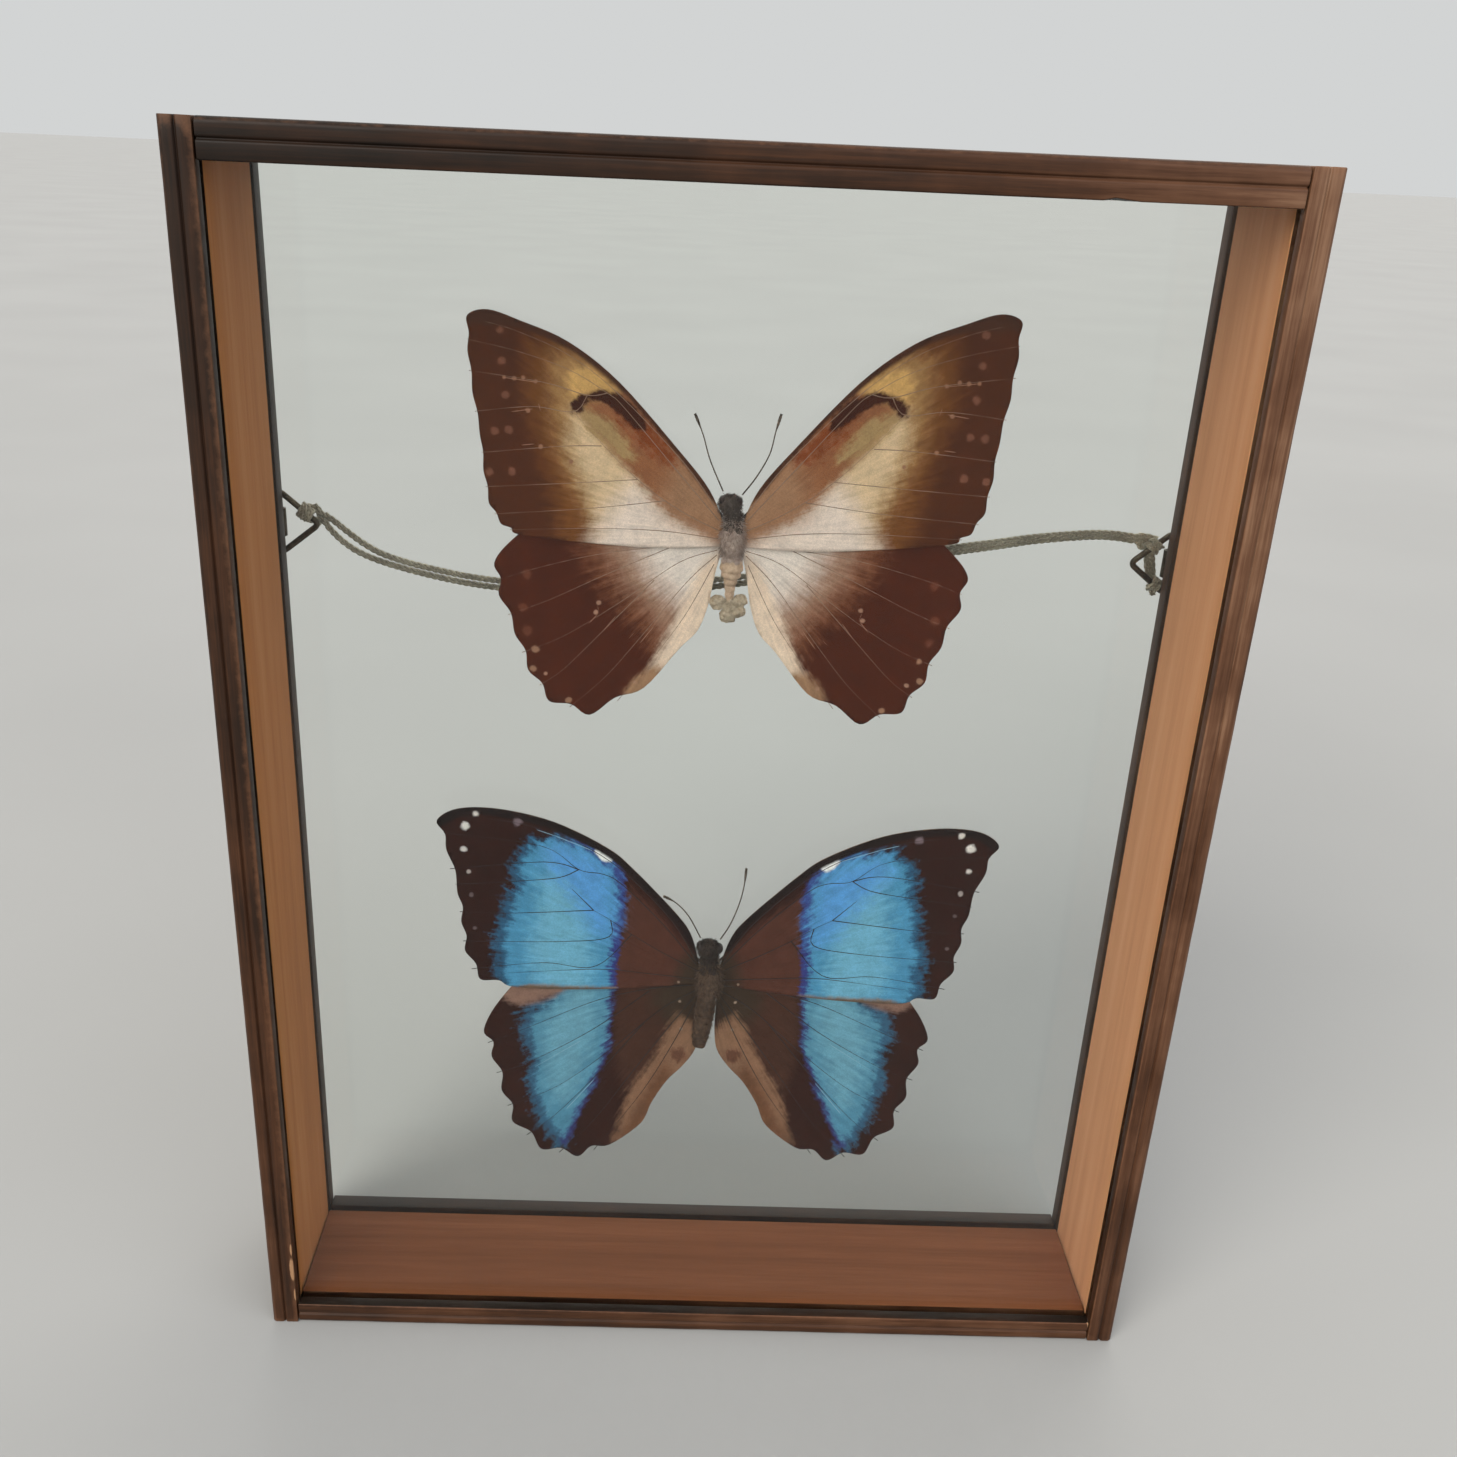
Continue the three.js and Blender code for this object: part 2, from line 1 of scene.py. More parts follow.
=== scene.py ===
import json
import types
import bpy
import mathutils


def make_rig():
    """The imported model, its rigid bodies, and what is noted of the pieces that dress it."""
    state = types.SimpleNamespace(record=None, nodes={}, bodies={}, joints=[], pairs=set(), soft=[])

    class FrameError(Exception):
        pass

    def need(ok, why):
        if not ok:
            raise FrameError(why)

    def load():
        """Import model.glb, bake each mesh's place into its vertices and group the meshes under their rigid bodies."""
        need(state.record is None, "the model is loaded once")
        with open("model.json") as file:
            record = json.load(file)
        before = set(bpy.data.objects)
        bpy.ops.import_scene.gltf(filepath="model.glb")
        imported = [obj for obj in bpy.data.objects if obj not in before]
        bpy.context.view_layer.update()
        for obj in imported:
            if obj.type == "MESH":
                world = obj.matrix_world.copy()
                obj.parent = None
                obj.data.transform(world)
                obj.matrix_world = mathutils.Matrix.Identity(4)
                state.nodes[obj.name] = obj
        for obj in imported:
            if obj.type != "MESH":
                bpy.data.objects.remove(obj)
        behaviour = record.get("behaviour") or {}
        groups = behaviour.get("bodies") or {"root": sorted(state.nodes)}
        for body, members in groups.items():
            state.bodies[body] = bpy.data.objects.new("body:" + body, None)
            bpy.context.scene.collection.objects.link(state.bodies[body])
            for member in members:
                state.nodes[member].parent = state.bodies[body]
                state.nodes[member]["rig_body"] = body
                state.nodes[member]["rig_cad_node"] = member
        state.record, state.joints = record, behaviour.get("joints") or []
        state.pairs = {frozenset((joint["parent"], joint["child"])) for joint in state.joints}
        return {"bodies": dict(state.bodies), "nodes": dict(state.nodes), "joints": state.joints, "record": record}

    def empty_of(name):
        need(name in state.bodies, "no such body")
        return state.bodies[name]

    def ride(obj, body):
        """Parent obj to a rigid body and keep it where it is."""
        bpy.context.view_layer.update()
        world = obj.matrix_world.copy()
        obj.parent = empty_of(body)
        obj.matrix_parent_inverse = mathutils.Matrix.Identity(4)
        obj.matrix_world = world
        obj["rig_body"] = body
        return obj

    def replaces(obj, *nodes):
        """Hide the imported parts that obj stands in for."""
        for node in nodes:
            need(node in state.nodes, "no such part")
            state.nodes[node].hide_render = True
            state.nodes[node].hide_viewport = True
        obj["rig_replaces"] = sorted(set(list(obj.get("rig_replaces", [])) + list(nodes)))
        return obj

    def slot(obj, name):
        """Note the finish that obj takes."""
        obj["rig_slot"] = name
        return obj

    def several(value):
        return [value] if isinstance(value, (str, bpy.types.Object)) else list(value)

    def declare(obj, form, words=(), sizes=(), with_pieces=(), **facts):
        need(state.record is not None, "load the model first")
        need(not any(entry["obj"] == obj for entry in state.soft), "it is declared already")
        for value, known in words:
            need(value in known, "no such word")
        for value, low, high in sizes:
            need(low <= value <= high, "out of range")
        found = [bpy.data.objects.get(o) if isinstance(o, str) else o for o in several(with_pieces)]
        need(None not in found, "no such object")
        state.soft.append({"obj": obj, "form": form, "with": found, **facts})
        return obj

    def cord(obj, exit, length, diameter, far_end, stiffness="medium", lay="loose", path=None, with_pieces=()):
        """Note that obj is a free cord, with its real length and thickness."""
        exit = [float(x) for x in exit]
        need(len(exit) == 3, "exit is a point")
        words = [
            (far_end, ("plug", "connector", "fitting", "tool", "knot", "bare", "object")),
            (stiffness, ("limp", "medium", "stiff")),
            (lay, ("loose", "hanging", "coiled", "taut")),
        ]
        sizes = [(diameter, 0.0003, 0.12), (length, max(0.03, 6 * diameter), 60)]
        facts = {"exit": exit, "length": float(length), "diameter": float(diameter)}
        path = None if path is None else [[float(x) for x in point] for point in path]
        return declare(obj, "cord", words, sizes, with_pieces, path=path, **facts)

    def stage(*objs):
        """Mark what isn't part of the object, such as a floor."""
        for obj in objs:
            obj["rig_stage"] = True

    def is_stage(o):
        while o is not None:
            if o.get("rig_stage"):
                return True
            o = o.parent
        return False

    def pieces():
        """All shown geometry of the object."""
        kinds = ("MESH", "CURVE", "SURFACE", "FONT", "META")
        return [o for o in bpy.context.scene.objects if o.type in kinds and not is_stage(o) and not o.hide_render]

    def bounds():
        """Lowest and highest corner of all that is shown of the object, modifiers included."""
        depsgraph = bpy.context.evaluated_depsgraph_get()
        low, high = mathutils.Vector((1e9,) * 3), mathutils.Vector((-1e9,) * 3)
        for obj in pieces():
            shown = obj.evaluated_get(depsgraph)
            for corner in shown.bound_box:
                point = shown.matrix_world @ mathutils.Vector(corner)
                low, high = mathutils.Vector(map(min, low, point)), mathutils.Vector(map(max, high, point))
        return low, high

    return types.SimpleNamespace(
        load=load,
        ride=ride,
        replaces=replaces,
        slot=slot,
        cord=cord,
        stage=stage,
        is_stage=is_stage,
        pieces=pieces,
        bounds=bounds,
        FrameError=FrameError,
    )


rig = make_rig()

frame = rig.load()

# A small glazed wooden frame with two dried butterflies between its panes, and a doubled cord
# between two wire rings on its back. Shapes are made in millimetres, with y counted from the
# frame's front face, and finish_piece() moves them to the row frame, in metres.

import json
import math
import random

import bmesh
import bpy
import numpy as np
from mathutils import Matrix, Quaternion, Vector, geometry, noise

CAD_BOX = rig.bounds()
MM = 0.001
FRONT_TO_ORIGIN = 21.5

# Frame, as in the CAD
STILE = 6
TOP_RAIL = 7
BOTTOM_RAIL = 5.5
WIDTH = 190 + 2 * STILE
HEIGHT = 251.5 + TOP_RAIL + BOTTOM_RAIL
BOX_DEPTH = 40
PANE_FRONT_DEPTH = 4
PANE_BACK_DEPTH = 34.7

# The boards' finish: rounding of the edges, cuts along them, how far the wear goes in from the
# lip and from the outer corner, and how dark the painted shade is on the lip's inner faces
BOARD_ROUNDING = 0.28
BOARD_STEP = 2.2
LIP_WEAR = 0.55
CORNER_WEAR = 1.3
SHADE_ON_STILES = -0.3
SHADE_IN_FRONT = -1
SHADE_BEHIND = -0.6

# Hangers, as in the CAD
WIRE_RADIUS = 0.65
RING_SIDE = 96.3
RING_DEPTH = 41.65
RING_HEIGHT = {"left": 184.9, "right": 183.1}
RING_REACH = 8.3
RING_TOP = 6.85
RING_LOW = -6.75
RING_APEX = -0.25
RING_GAP = 0.3
RING_CORNER = 1.4

# Butterflies, as in the CAD: thorax centres [x, z], and depths
CENTRES = {"upper": (0.35, 188), "lower": (0.1, 80.5)}
BODY_DEPTH = 29.7
FOREWING_DEPTH = 30
HINDWING_DEPTH = 30.7

# Camera, fitted to the photograph: the shift puts its off-centre crop right
CAMERA_PLACE = (-12.4, -258.9, 262.2)
CAMERA_TURN = (67.21, -2.383, -0.559)
CAMERA_LENS = 34.94
CAMERA_SHIFT = (0.0199, 0.0103)

# Routes of the cord's two strands, as in the CAD: [x, depth, z]
CORD_UPPER = [
    (-87.1, 43.4, 186.3), (-85.2, 43.4, 185), (-82.5, 43.4, 182.8), (-79, 43.4, 180.2), (-75, 43.5, 178),
    (-70, 43.6, 176.4), (-64.5, 43.7, 175.1), (-57, 43.8, 173.7), (-50, 43.9, 172.9), (-36.4, 44, 172),
    (-18.8, 44.1, 172.8), (3.1, 44.2, 175.7), (26.9, 44.1, 180), (47.4, 43.9, 183.9), (59.3, 43.7, 186),
    (67.8, 43.6, 187.5), (78.6, 43.5, 188.7), (84, 43.4, 188.8), (88.8, 43.4, 188.3),
]
CORD_LOWER = [
    (-87.1, 43.4, 184.6), (-85.9, 43.4, 182.9), (-83, 43.4, 180.1), (-79.4, 43.4, 177.9),
    (-75, 43.5, 176.2), (-70, 43.6, 174.8), (-64.5, 43.7, 173.5), (-57, 43.8, 172.1), (-50, 43.9, 171.3),
    (-36.4, 44, 170.4), (-18.8, 44.2, 171.2), (3.1, 44.4, 174.1), (26.9, 44.6, 178.5), (47.4, 44.6, 182.5),
    (59.3, 44.6, 184.7), (67.8, 44.6, 186.3), (78.6, 44.6, 187.6), (84, 44.6, 187.7), (88.8, 44.5, 187.2),
]
CORD_WIDTH = 1.5
YARN_RADIUS = 0.32

# The braid: length of one turn of a yarn and its steps, and how far a yarn sways and lifts
BRAID_PITCH = 4.2
BRAID_STEPS = 12
BRAID_SWAY = 0.44
BRAID_LIFT = 0.22

# Knots. Turns are helices round a leg of the ring: [leg, from, to, how many], counted inward from
# the ring's straight side. Strands are points [inward, up, back] from the middle of that side.
TURN_RADIUS = WIRE_RADIUS + 0.62
KNOTS = {
    "left": {
        "turns": [("upper", 4.6, 6.4, 2.5)],
        "strands": [
            [(4.7, 3.2, 0.9), (5.8, 3.1, 1.7), (7.3, 2.3, 2), (9.4, 0.9, 1.8)],
            [(5.4, 0.6, 0.8), (6.6, 0.2, 1.6), (7.8, 0.4, 1.8), (9.4, -0.3, 1.8)],
            [(7, 3.4, 1.6), (7.7, 2.2, 2.5), (7.9, 0.6, 2.4), (7.6, -0.9, 1.5)],
        ],
    },
    "right": {
        "turns": [("upper", 2.9, 5, 2), ("lower", 1.9, 3.1, 1.5)],
        "strands": [
            [(7.6, 5.2, 1.7), (5.8, 5.4, 1.9), (4.2, 5.2, 1.9), (2.8, 4.9, 1.5)],
            [(7.4, 4.1, 2.2), (5.8, 4.2, 2.5), (4.2, 3.9, 2.4), (2.9, 3.6, 1.7)],
            [(6.3, 5.9, 1.6), (6.6, 4.6, 2.8), (6.2, 3.4, 2.4), (5.5, 2.7, 1.6)],
            [(4.8, 3.8, 1.7), (4.5, 1.8, 1.7), (3.9, -1.2, 1.7), (3, -4.4, 1.4)],
            [(3.6, 3.8, 1.6), (3.4, 1.8, 1.6), (2.8, -1.2, 1.6), (2.1, -4.8, 1.4)],
            [(2.6, -4.4, 1.5), (2.1, -6.2, 1.6), (1.8, -7.6, 1.3)],
        ],
    },
}

# Wing outlines, as in the CAD: millimetres outward and up from the thorax centre
WINGS = {
    "upper_forewing": {
        "depth": FOREWING_DEPTH,
        "leading": [
            (2, 3), (5.2, 9.8), (11.6, 17.5), (24, 30.7), (34.2, 38.2), (43.6, 41.9), (50, 43.8),
            (54, 42.6),
        ],
        "tips": [
            (54, 42.6), (54.1, 35.9), (53.3, 27.8), (52, 19.5), (51.4, 12.2), (50.4, 5.5), (48, 1.2),
            (44.1, -1),
        ],
        "notch": 0.3,
        "inner": [(44.1, -1), (30, -2.2), (15, -2.8), (2, -2)],
        "veins": [
            [(3, 5), (10.5, 15), (24, 28.3), (34, 35.6), (44, 39.8), (51, 41.6)],
            [(3, 3.5), (12, 13.5), (23, 25.8), (26.5, 28.6), (34, 32.8), (44, 36), (54.1, 38)],
            [(26.5, 28.6), (30.5, 28), (39, 30.2), (53.9, 32)],
            [(30.5, 28), (33.2, 24.6), (41.5, 25.4), (52.9, 24)],
            [(2, 1), (9.5, 4.4), (17.5, 9.4), (24.5, 15.5), (33.2, 24.6)],
            [(27.5, 18), (36, 17.6), (51.7, 15.8)],
            [(20, 11.4), (31, 10.4), (51, 8.8)],
            [(14.5, 7.2), (28.5, 5.2), (49.3, 3.2)],
            [(2, -0.5), (14, 0.8), (28, 0.9), (46.2, 0)],
        ],
    },
    "upper_hindwing": {
        "depth": HINDWING_DEPTH,
        "leading": [(2, 0.5), (15, 3), (30, 3.8), (40, 2), (46.5, -3), (49.6, -7.4)],
        "tips": [
            (49.6, -7.4), (48.7, -14.3), (45.4, -22.8), (42.6, -30.9), (38.1, -37.9), (29.2, -40.8),
            (17.5, -34.1),
        ],
        "notch": 0.9,
        "inner": [(17.5, -34.1), (10.1, -24.9), (6.4, -20.7), (4.4, -15), (3.2, -8), (2, -3)],
        "veins": [
            [(3, -2), (12, -2.4), (27, -4.6), (40, -8), (48.6, -11)],
            [(12, -2.4), (26, -9), (38, -15), (46.8, -18.6)],
            [(3, -3), (11, -6), (23, -15), (35, -23), (43.9, -27)],
            [(16, -10), (27, -22), (35, -30.5), (40.2, -34.4)],
            [(3, -4), (9, -10), (18, -22), (26, -32), (33.6, -39.2)],
            [(3.5, -6), (9.5, -18), (17, -29), (23.2, -37.4)],
        ],
    },
    "lower_forewing": {
        "depth": FOREWING_DEPTH,
        "leading": [
            (2.2, 3), (4.3, 11.4), (8, 17.4), (18.7, 29.3), (24.8, 34.5), (36.6, 40.6), (48.5, 43.5),
            (58, 43.4), (62.9, 40.4),
        ],
        "tips": [
            (62.9, 40.4), (61, 33), (58.8, 21.9), (58.1, 14.3), (57.4, 6.5), (54, -1.3), (45.7, -3.3),
        ],
        "notch": 0.8,
        "inner": [(45.7, -3.3), (30, -3.5), (15, -2.5), (2.2, -1)],
        "veins": [
            [(3, 5), (9, 15.5), (19, 26.8), (27.5, 33.4), (36.5, 37.6), (46, 40.4), (57, 41.4)],
            [(3, 4), (11, 14.5), (21, 25), (25.5, 27.6), (31, 28.6), (39.5, 34.5), (61.5, 37.2)],
            [(31, 28.6), (39, 30.4), (60.3, 28)],
            [(31, 28.6), (35.5, 26.4), (44.5, 25.3), (59.2, 24)],
            [(2, 2), (11, 7), (18.5, 11.8), (23.5, 15.5), (27.5, 18)],
            [(27.5, 18), (32.5, 23.5)],
            [(27.5, 18), (46, 16.8), (58.4, 16.8)],
            [(23.5, 15.5), (24, 10.8), (36, 9.4), (57.8, 9)],
            [(18.5, 11.8), (27, 2.8), (39, 3.6), (56, 1.4)],
            [(2, 0), (14, 1.2), (27, 2.1), (48.5, 0.4)],
        ],
    },
    "lower_hindwing": {
        "depth": HINDWING_DEPTH,
        "leading": [(2, 2), (15, 3.5), (30, 2.8), (42, 0.5), (49.6, -7.6), (53.5, -15.9)],
        "tips": [
            (53.5, -15.9), (51.7, -23.4), (49.4, -33.3), (46.8, -42.5), (39.7, -50.5), (30.6, -52.7),
            (22.7, -49),
        ],
        "notch": 1.4,
        "inner": [
            (22.7, -49), (15.1, -42.3), (12.5, -35.9), (9, -29.5), (5.3, -25), (2.4, -20), (1.7, -14),
            (2, -6),
        ],
        "veins": [
            [(3, -2), (12, -3), (26, -6.8), (42, -14.6), (52.6, -19.6)],
            [(14, -4), (27, -15), (42, -24.6), (50.6, -28.3)],
            [(3, -3.5), (11, -9), (23, -21), (36, -32), (48, -37.9)],
            [(15, -13), (26, -28), (36, -40), (43.3, -46.5)],
            [(3, -5), (9, -14), (18, -28), (27, -42), (35.2, -51.6)],
            [(3, -7), (8, -19), (15, -33), (26.6, -50.8)],
        ],
    },
}

# How far each right wing is turned up about the thorax centre, in degrees, and its scale
RIGHT_SET = {
    "upper_forewing": (1.75, 1.035),
    "upper_hindwing": (0.75, 1.01),
    "lower_forewing": (-1.75, 1.005),
    "lower_hindwing": (1.5, 1),
}
WING_THICKNESS = 0.3
WING_CELL = 0.9
VEIN_RADIUS = {"upper": 0.12, "lower": 0.14}
PLEAT_DEPTH = 0.12
PLEAT_WIDTH = 2.5
RUBBED_RADIUS = 0.07

# How the dried wings curl to the front: by this much at the reach, with waves of this length
WING_CURL = 0.9
WING_REACH = 65
WING_WAVE = 0.25
WAVE_LENGTH = 22

# Noise cells of the rays that fan out from a body, for each radian and for each millimetre
RAYS_ROUND = 34
RAYS_ALONG = 0.09

# Wing patterns: the ground colour, then coloured regions painted over it in this order. A region
# has its colour, how softly it ends and how ragged its edge is in millimetres, and its outline.
PATTERNS = {
    "upper_forewing": {
        "ground": "#502711",
        "regions": [
            ("tawny_halo", "#74461f", 7, 1.3,
                [(42, 38), (31, 38), (22, 26), (2, -4), (32, -5), (37.5, 8), (40, 18), (42.5, 27)]),
            ("golden_halo", "#a47c4e", 6, 1.2,
                [(37.5, 35), (31, 36), (22, 24), (8, -4), (26, -5), (30.5, 4), (35, 14), (37.5, 25)]),
            ("cream_field", "#dcc09a", 6, 1.2,
                [(33, 25), (21, 14), (8, 2), (8, -5), (24, -5), (27.5, 2), (31, 11), (33.5, 19)]),
            ("white_base", "#e8d6c8", 8, 1, [(21, 11), (9, 4), (3, 0), (3, -6), (28, -6), (27, 2)]),
            ("cell", "#94603e", 3, 1.1,
                [(25, 32), (17, 24.5), (9, 15.6), (1, 9), (0, -0.6), (8, 1.6), (14.5, 5.6), (20, 11),
                 (26.5, 18.2), (30.5, 24), (29.5, 27.2), (26, 28.6)]),
            ("cell_base", "#a0785a", 8, 1, [(12, 17), (4, 10), (0, 5), (0, -1.6), (8, 1.6), (15, 6)]),
            ("cell_end", "#a88a5e", 2.2, 1.4,
                [(30.8, 24.8), (25.5, 23), (20.5, 16), (24, 16.4), (28.5, 20.2), (32, 24)]),
            ("rust_mottle", "#84421f", 3, 2.4,
                [(23.5, 27), (17.5, 22.5), (12.5, 16), (15.5, 15.6), (20.5, 20), (24.5, 24.5)]),
            ("yellow_patch", "#d4a868", 2.6, 0.9,
                [(34.6, 30.6), (33, 33.6), (29.5, 33), (26, 31), (24, 29), (26, 27.8), (29.5, 28),
                 (33.4, 27)]),
            ("cell_bar", "#3e1a0c", 1.1, 0.7,
                [(33.6, 24.2), (33.4, 26.6), (30.8, 28.3), (26.5, 29), (22.5, 27.6), (18.6, 23.4),
                 (19.6, 21.2), (23, 23.6), (26.4, 26.2), (30.2, 26.6), (31.9, 24.3)]),
            ("costal_edge", "#4a2a1a", 0.9, 0.3,
                [(0, 6), (5, 11.6), (11.6, 19.4), (24, 32.6), (34.2, 40), (43.6, 43.6), (56, 46),
                 (56, 41.2), (44, 40.6), (34.4, 36.9), (24, 29.4), (11.6, 16.2), (4, 7)]),
        ],
        "dots": [
            ("#7c4e3a", 0.8,
                [(47.5, 40), (47.4, 34.1), (46.7, 27.7), (46.1, 20.6), (50.1, 11.9), (45.6, 12.4),
                 (49, 20.2)]),
            ("#9a6e54", 0.45,
                [(42.3, 24.6), (39.8, 17.4), (47, 30.9), (40.7, 30.4), (45, 30.8), (43.2, 31),
                 (33.6, 14.6)]),
        ],
    },
    "upper_hindwing": {
        "ground": "#4c1e0b",
        "regions": [
            ("brown_halo", "#7e4e34", 8, 2.4,
                [(33, 3), (29, -8), (22, -16.5), (16.5, -23), (12.5, -30), (6, -16), (0, 0), (0, 6),
                 (33, 6)]),
            ("mauve_field", "#a88672", 8, 1.6,
                [(27, 3), (23.5, -8), (17, -15.5), (11.5, -21), (5, -14), (0, 0), (0, 6), (27, 6)]),
            ("white_base", "#e8dbd0", 9, 1.4,
                [(20, 3), (17.5, -7), (11.5, -13.5), (6, -15), (3, -10), (0, 0), (0, 6), (20, 6)]),
            ("peach_strip", "#ead2bb", 3, 0.7,
                [(3, -4), (6.5, -7), (9.4, -14), (13.2, -23), (17.3, -32), (19, -37), (16, -35), (5, -24),
                 (1, -14)]),
            ("brown_tip", "#a07a5c", 2.6, 0.8,
                [(14.4, -29), (18.6, -31), (21.5, -35.5), (18, -37), (13, -33)]),
        ],
        "dots": [
            ("#6a3a26", 1, [(42.8, -9.4), (43.6, -16.8), (42.8, -22)]),
            ("#a0785e", 0.7, [(41, -26.2), (41.5, -30.6), (33.8, -37.6)]),
            ("#a88068", 0.5, [(38.8, -31.6), (19.6, -33), (27.6, -15.2), (28.2, -17.4)]),
        ],
    },
    "lower_forewing": {
        "ground": "#30140d",
        "regions": [
            ("base_brown", "#543024", 3, 1,
                [(22, 27), (12, 17), (1, 2), (3, -4), (24, -5), (22, 8), (20.5, 20)]),
            ("hairy_base", "#3a2c20", 5, 1.4, [(0, 6), (5, 7), (7.5, 1), (7, -5), (0, -5)]),
            ("band_fade", "#2f5f80", 3, 2.4,
                [(39.6, 37.4), (33, 34), (30, 15), (33, -5), (44, -5), (49.6, -4), (51, 0), (50.2, 5.5),
                 (50.6, 10.5), (48.9, 15), (48.4, 20.5), (46, 25), (46.4, 29), (44.4, 33.5), (42, 36)]),
            ("violet_edge", "#333c80", 1.4, 1,
                [(34, 36.4), (30.5, 36), (26.5, 34), (22.6, 30.5), (21, 28.5), (20.1, 24), (20.4, 17),
                 (21, 9), (21.9, 2), (22.4, -5), (30, -5), (34, 20)]),
            ("sky_band", "#4f97c0", 2.2, 1.5,
                [(38.4, 36.4), (35.5, 36), (31, 34.9), (27.5, 32.9), (25, 30), (23, 28), (22.2, 24),
                 (22.4, 18.5), (22.9, 12.5), (23.2, 7), (23.8, 2), (24, -5), (33, -5), (43, -5), (47, -4),
                 (48.2, 0), (47.4, 5.5), (48.2, 10.5), (46.2, 15), (45.8, 20.5), (43.3, 25), (44.2, 28.5),
                 (42.2, 33), (40.6, 34.8)]),
            ("bright_band", "#72b4d2", 7, 2.4,
                [(36, 33), (29, 29), (27.5, 20), (28, 8), (29, -3), (38, -3), (42, 5), (40, 20), (38, 30)]),
            ("azure_corner", "#5a9edc", 8, 2,
                [(36, 35.4), (27, 31.6), (23.6, 26), (23, 13), (27, 12), (33, 22), (39, 31)]),
            ("pale_hem", "#86705f", 1.4, 0.4, [(22, -2.7), (30, -2.7), (44, -2.5), (46, -6), (22, -6)]),
            ("white_patch", "#fafaf8", 0.8, 0.3,
                [(27.6, 33.3), (26.2, 34.8), (23.2, 32.5), (23.9, 30.9), (25.6, 31)]),
            ("costal_edge", "#201311", 0.8, 0.2,
                [(0, 6), (4.2, 12.6), (8, 18.9), (18.7, 31), (24.8, 36.3), (36.6, 42.4), (48.5, 45.4),
                 (66, 46), (64, 38.6), (57, 41.6), (48.4, 41.6), (36.8, 38.6), (25.2, 32.6), (19.2, 27.4),
                 (8.8, 15.8), (4, 8)]),
        ],
        "dots": [
            ("#ece9e4", 0.95, [(56.7, 39.1)]),
            ("#ddd8d2", 0.7, [(54.2, 42.2), (57.1, 33.3)]),
            ("#b8aca6", 0.55, [(56.1, 27.4)]),
            ("#7d6c72", 1, [(44.8, 40.3)]),
            ("#6a5a5a", 0.5, [(55.6, 21.4), (55, 12.6)]),
            ("#8a7464", 0.35, [(7.1, -0.8)]),
        ],
    },
    "lower_hindwing": {
        "ground": "#32160e",
        "regions": [
            ("base_brown", "#462a1e", 4, 1, [(22, 4), (22, -20), (15, -42), (2, -24), (0, 4)]),
            ("hairy_base", "#3a2c20", 6, 1.6, [(0, 4), (9, 2), (13, -6), (9, -13), (4, -13), (0, -8)]),
            ("band_fade", "#355f7c", 3, 2.4,
                [(33, 4), (28, -8), (30, -30), (34, -49), (37.8, -46.4), (41, -41), (42.4, -34.5),
                 (43.6, -30), (43.3, -23.5), (44.6, -16.5), (43.8, -10), (37.5, -5)]),
            ("violet_edge", "#363d74", 1.6, 1,
                [(31, 4), (22.8, 4), (22.4, -8), (22.7, -14), (23.2, -21), (25.2, -27), (27.2, -33),
                 (30.2, -40), (32.2, -46.4), (34.6, -49), (35, -40), (30, -22)]),
            ("sky_band", "#5490ad", 2.2, 1.4,
                [(33, 4), (24, 4), (23.4, -8), (23.9, -14), (24.3, -20.5), (26.3, -26.5), (28.3, -32.5),
                 (31.3, -39.5), (33.3, -45), (34.6, -46.6), (36, -44.2), (38.6, -39.4), (40, -34),
                 (41.2, -29.6), (40.8, -23.5), (42, -16.5), (41, -11), (36.2, -6.6)]),
            ("bright_band", "#6ea6bd", 7, 2.4,
                [(32, -2), (27, -4), (27, -16), (30, -28), (34, -36), (38, -28), (38, -14)]),
            ("pale_leading", "#8e6e60", 2.4, 0.8,
                [(50.5, -5), (46.5, -1.5), (37.5, 3), (27, 4), (27, 0.5), (31.5, -1.4), (33.5, -3.4),
                 (36.6, -6), (42, -8), (46.5, -8.4)]),
            ("pale_flap", "#8c6850", 3, 1,
                [(6.6, -10), (0, -17), (0, -24), (7, -31.5), (13.5, -43), (17, -47), (21.6, -48),
                 (20.4, -42), (18, -33), (13, -24), (9.2, -15)]),
            ("rust_flap", "#6e4830", 4, 0.8,
                [(9.5, -24), (14.5, -33), (18, -42), (20.5, -46.5), (15.5, -43.5), (11.4, -34.5), (8, -28)]),
        ],
        "dots": [
            ("#6a4432", 1.9, [(6.4, -22)]),
            ("#9a8474", 0.35, [(6.6, -6.7), (6, -14.5)]),
        ],
    },
}

# Light lines on the wings, where scales are rubbed off: [from, to], radius and colour
RUBBED_LINES = {
    "upper_forewing": [
        [(47, 30.9), (40.6, 30.2)], [(45.6, 24.2), (41.4, 24.9)], [(43.6, 17.6), (41.2, 17.9)],
        [(37, 14.6), (36.7, 12.9)], [(40.2, 26), (39.8, 24.6)],
    ],
    "upper_hindwing": [
        [(37.6, -11), (34, -10.2)], [(28.4, -14.2), (27.6, -17)], [(29.6, -20), (27.8, -17.8)],
        [(26.4, -21.4), (24, -18.2)], [(18.6, -24), (15.8, -20.2)], [(21.4, -23.4), (19.8, -21.6)],
    ],
    "lower_forewing": [[(40.5, 38.6), (36.5, 37.2)], [(36.5, 37.2), (28, 33.6)]],
    "lower_hindwing": [
        [(39, -40.5), (33.6, -33)], [(33.5, -38.5), (26.8, -29.6)], [(41.5, -26.5), (30, -18.4)],
    ],
}

